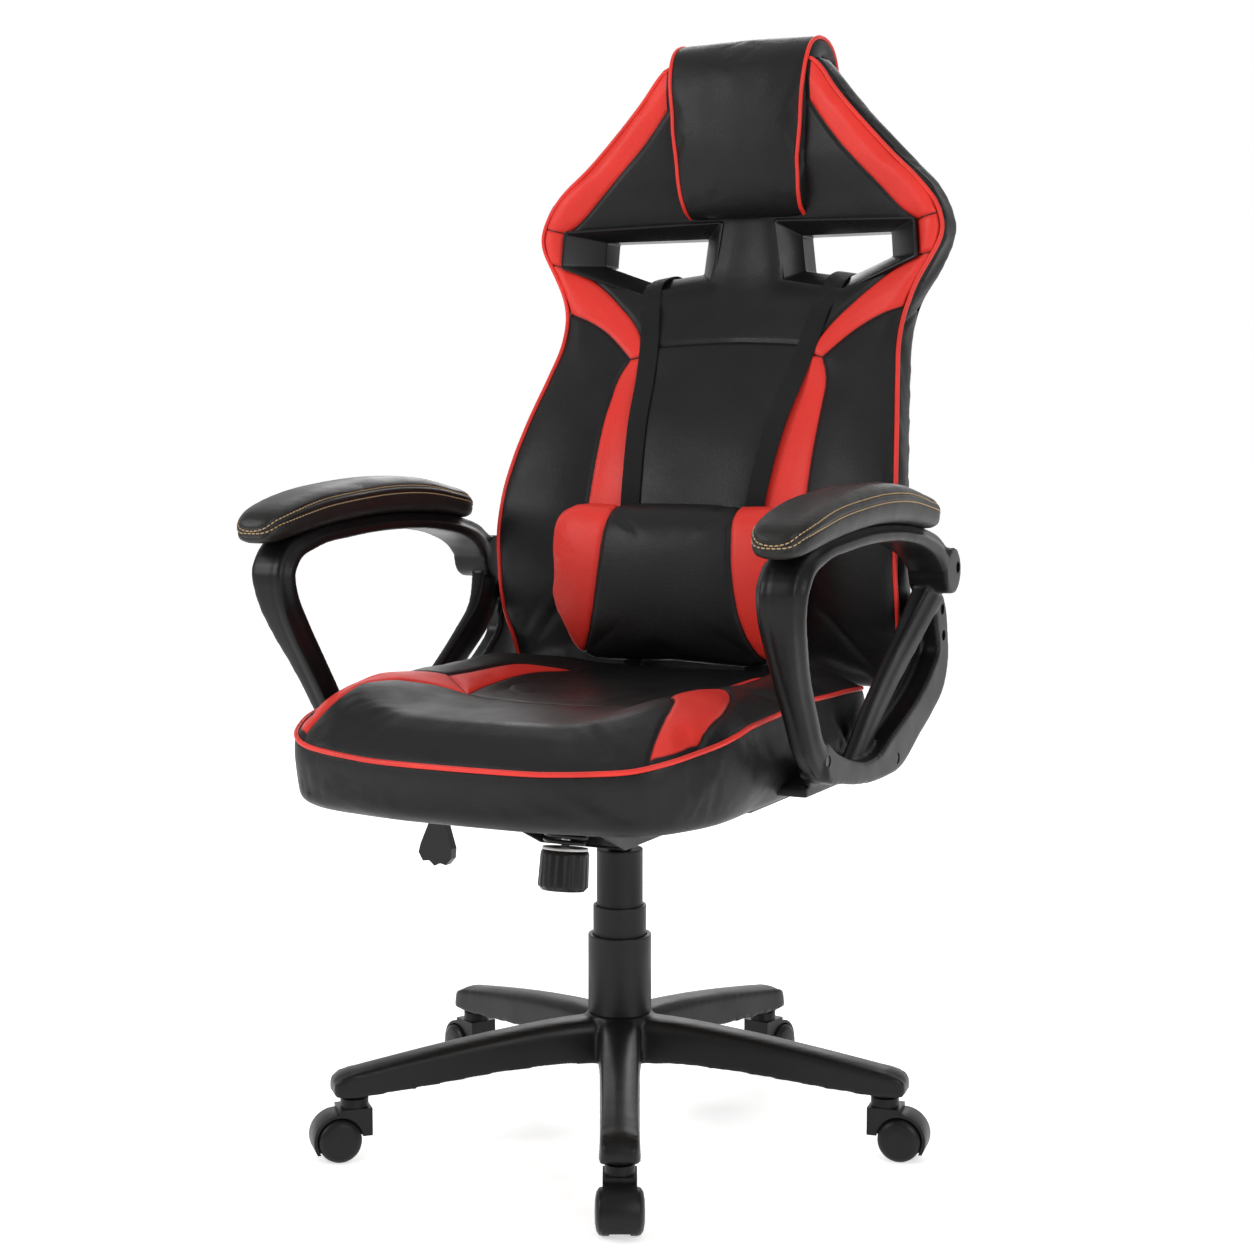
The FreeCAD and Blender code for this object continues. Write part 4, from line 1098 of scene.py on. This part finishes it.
def make_pads():
    rings = []
    for y, low, high, half in smooth_line(PAD, 40):
        section = np.array(rounded(1.0, 1.0, 3.2, 32))
        x = PAD_X + half * section[:, 0]
        z = (low + high) / 2 + (high - low) / 2 * section[:, 1]
        z = np.where(section[:, 1] < 0, low + (z - low) * 0.9, z)
        rings.append(np.column_stack([x, np.full(32, y), z]))
    pad = skin("arm_left_pad", rings)
    remesh(pad, 0.0042, 2)
    swell(pad, 3.0, 0.003, lambda p: p[:, 2] < column([row[:2] for row in PAD], p[:, 1]) + 0.006)
    subdivide(pad)
    seam = on_surface(pad, pad_side(0.985, 0.66, 0.0), 0.0)
    refine(pad, lambda p: line_distance(p, seam[::4]) < 0.009)
    co = places(pad)
    away = line_distance(co, seam[::2])
    out = normals(pad)
    ridge = 0.0010 * np.exp(-((away / 0.0022) ** 2)) - 0.0008 * np.exp(-(((away - 0.0042) / 0.0014) ** 2))
    set_places(pad, co + out * ridge[:, None])
    rows = []
    for height in (0.56, 0.76):
        rows += stitches(on_surface(pad, pad_side(1.0 if height < 0.6 else 0.95, height, 0.0), 0.0), pad)
    rows = join("arm_left_stitching", rows)
    twin = mirror(pad, "arm_right_pad")
    twin_rows = mirror(rows, "arm_right_stitching")
    finish_piece(pad, pad_leather.material, "seat", ["arm_pad_left"])
    finish_piece(twin, pad_leather.material, "seat", ["arm_pad_right"])
    for row in (rows, twin_rows):
        finish_piece(row, thread.material, "seat")


# ---- star base ----
BASE_YAW, LEGS = math.radians(26.5), 5
STEM_CIRCLE = 0.320
HUB_R, HUB_TOP, TUBE_R = 0.0400, 0.1435, 0.025
# distance from the column, half width, underside, top
LEG = [
    (0.020, 0.027, 0.087, 0.1415), (0.070, 0.0245, 0.090, 0.1395), (0.140, 0.0232, 0.0885, 0.1325),
    (0.210, 0.0225, 0.0825, 0.1230), (0.270, 0.0220, 0.0770, 0.1135), (0.310, 0.0222, 0.0745, 0.1065),
    (0.331, 0.0222, 0.0745, 0.1020), (0.341, 0.0205, 0.0750, 0.0965), (0.3455, 0.0165, 0.0765, 0.0900),
]


def leg_ring(r, half, low, high):
    """A leg's section: upright flanks that flare a little, and a narrower crown."""
    shoulder = high - 0.30 * (high - low)
    right = [(half, low), (half * 0.97, low + 0.006), (half * 0.93, shoulder), (half * 0.86, shoulder + 0.006),
             (half * 0.66, high - 0.003), (half * 0.35, high - 0.0006)]
    return np.array([(a, -r, z) for a, z in right + [(0, high)] + [(-a, z) for a, z in reversed(right)]])


def make_base():
    rows = smooth_line(LEG, 50)
    leg = skin("leg", [leg_ring(*row) for row in rows])
    skirt = skin("skirt", [np.column_stack([0.0155 * np.cos(t), -STEM_CIRCLE + 0.0155 * np.sin(t), np.full(40, z)])
                           for t in [np.linspace(0, 2 * math.pi, 40, endpoint=False)] for z in (0.0705, 0.090)])
    leg = join("leg", [leg, skirt])
    wall = 0.0035
    hollow = [leg_ring(r, half - wall, low - 0.004, high - 2 * wall) for r, half, low, high in rows
              if 0.062 < r < 0.292]
    hollow = skin("hollow", hollow)
    parts, tools = [], []
    for source, made in ((leg, parts), (hollow, tools)):
        co = places(source)
        for i in range(LEGS):
            turn = BASE_YAW + 2 * math.pi * i / LEGS
            copy = bpy.data.objects.new("copy", source.data.copy())
            scene.collection.objects.link(copy)
            x = co[:, 0] * math.cos(turn) - co[:, 1] * math.sin(turn)
            y = co[:, 0] * math.sin(turn) + co[:, 1] * math.cos(turn)
            set_places(copy, np.column_stack([x, y, co[:, 2]]))
            made.append(copy)
        bpy.data.objects.remove(source)

    def drum(name, profile):
        t = np.linspace(0, 2 * math.pi, 72, endpoint=False)
        return skin(name, [np.column_stack([r * np.cos(t), r * np.sin(t), np.full(72, z)]) for r, z in profile])

    parts.append(drum("hub", [(0.036, 0.0865), (HUB_R, 0.090), (HUB_R + 0.001, 0.125), (HUB_R, 0.138),
                              (HUB_R - 0.0015, HUB_TOP)]))
    base = join("star_base_moulding", parts)
    remesh(base, 0.0028, 5)
    tools.append(drum("bore", [(TUBE_R, 0.06), (TUBE_R, 0.20)]))
    cut(base, *tools)
    co = places(base)
    co[:, 2] = np.minimum(co[:, 2], HUB_TOP - 0.0001)
    set_places(base, co)
    finish_piece(base, nylon.material, "base", ["star_base"], 40)


# ---- tension spring ----
def make_spring():
    lean = math.radians(8.0)
    head = np.array([0.0, -0.128, 0.427])
    down = np.array([0.0, -math.sin(lean), -math.cos(lean)])
    across, beside = np.array([1.0, 0.0, 0.0]), np.array([0.0, math.cos(lean), -math.sin(lean)])
    radius, wire, top, length, turns = 0.023, 0.0026, 0.0375, 0.020, 3.0
    share = np.linspace(0, 1, 140)
    a = 2 * math.pi * turns * share
    path = head + np.outer(top + length * share, down) + radius * (
        np.outer(np.cos(a), across) + np.outer(np.sin(a), beside))
    coil = sweep("tension_spring_coil", path, circle(wire, 12), -down)
    finish_piece(coil, black_steel.material, "carriage", ["tension_spring"])
    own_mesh(coil)


# ---- stage ----
def make_stage():
    floor = mesh_object("floor", [(-30, -30, 0), (30, -30, 0), (30, 30, 0), (-30, 30, 0)], [(0, 1, 2, 3)])
    pale = Surface("pale_floor", (0.90, 0.90, 0.90), (0.55, 0.65), Specular_IOR_Level=0.1, Emission_Strength=0.55)
    pale.shader.inputs["Emission Color"].default_value = (1, 1, 1, 1)
    floor.data.materials.append(pale.material)

    world = bpy.data.worlds.new("studio")
    scene.world = world
    world.use_nodes = True
    nodes, links = world.node_tree.nodes, world.node_tree.links
    place = nodes.new("ShaderNodeTexCoord")
    toward = nodes.new("ShaderNodeVectorMath")
    toward.operation = "DOT_PRODUCT"
    toward.inputs[1].default_value = BACKDROP
    share = nodes.new("ShaderNodeMapRange")
    share.inputs["From Min"].default_value = 0.35
    share.inputs["From Max"].default_value = 0.85
    share.inputs["To Min"].default_value = 0.42
    share.inputs["To Max"].default_value = 1.0
    links.new(place.outputs["Generated"], toward.inputs[0])
    links.new(toward.outputs["Value"], share.inputs["Value"])
    links.new(share.outputs["Result"], nodes["Background"].inputs["Color"])

    lamp("key", (-2.3, -2.5, 2.3), (0.0, 0.0, 0.75), 1.7, 62)
    lamp("fill", (3.0, -1.7, 1.9), (0.0, 0.0, 0.7), 1.8, 40)
    lamp("top", (0.2, 0.2, 3.3), (0.0, 0.0, 0.5), 2.6, 12)
    lamp("rim", (-1.2, 3.0, 2.4), (0.0, 0.1, 0.8), 2.0, 40)


def lamp(name, place, target, size, power):
    light = bpy.data.lights.new(name, "AREA")
    light.size = size
    light.energy = power
    obj = bpy.data.objects.new(name, light)
    scene.collection.objects.link(obj)
    obj.location = place
    obj.rotation_euler = (Vector(target) - Vector(place)).to_track_quat("-Z", "Y").to_euler()


CAMERA_AT = (1.1177, -2.2418, 0.844)
CAMERA_TURN = (math.radians(84.46), 0.0, math.radians(26.303))
BACKDROP = (-math.sin(CAMERA_TURN[2]), math.cos(CAMERA_TURN[2]), 0.0)


def make_camera():
    lens = bpy.data.cameras.new("camera")
    lens.lens = 61.8
    lens.sensor_width = 36.0
    camera = bpy.data.objects.new("camera", lens)
    scene.collection.objects.link(camera)
    camera.location = CAMERA_AT
    camera.rotation_euler = CAMERA_TURN
    scene.camera = camera
    scene.view_settings.view_transform = "Standard"


make_camera()
make_stage()
dress_frame()
make_seat()
back_piece = make_back()
make_bezels()
make_head_pillow()
make_lumbar_pillow()
make_strap(back_piece)
make_arm_frames()
make_pads()
make_base()
make_spring()
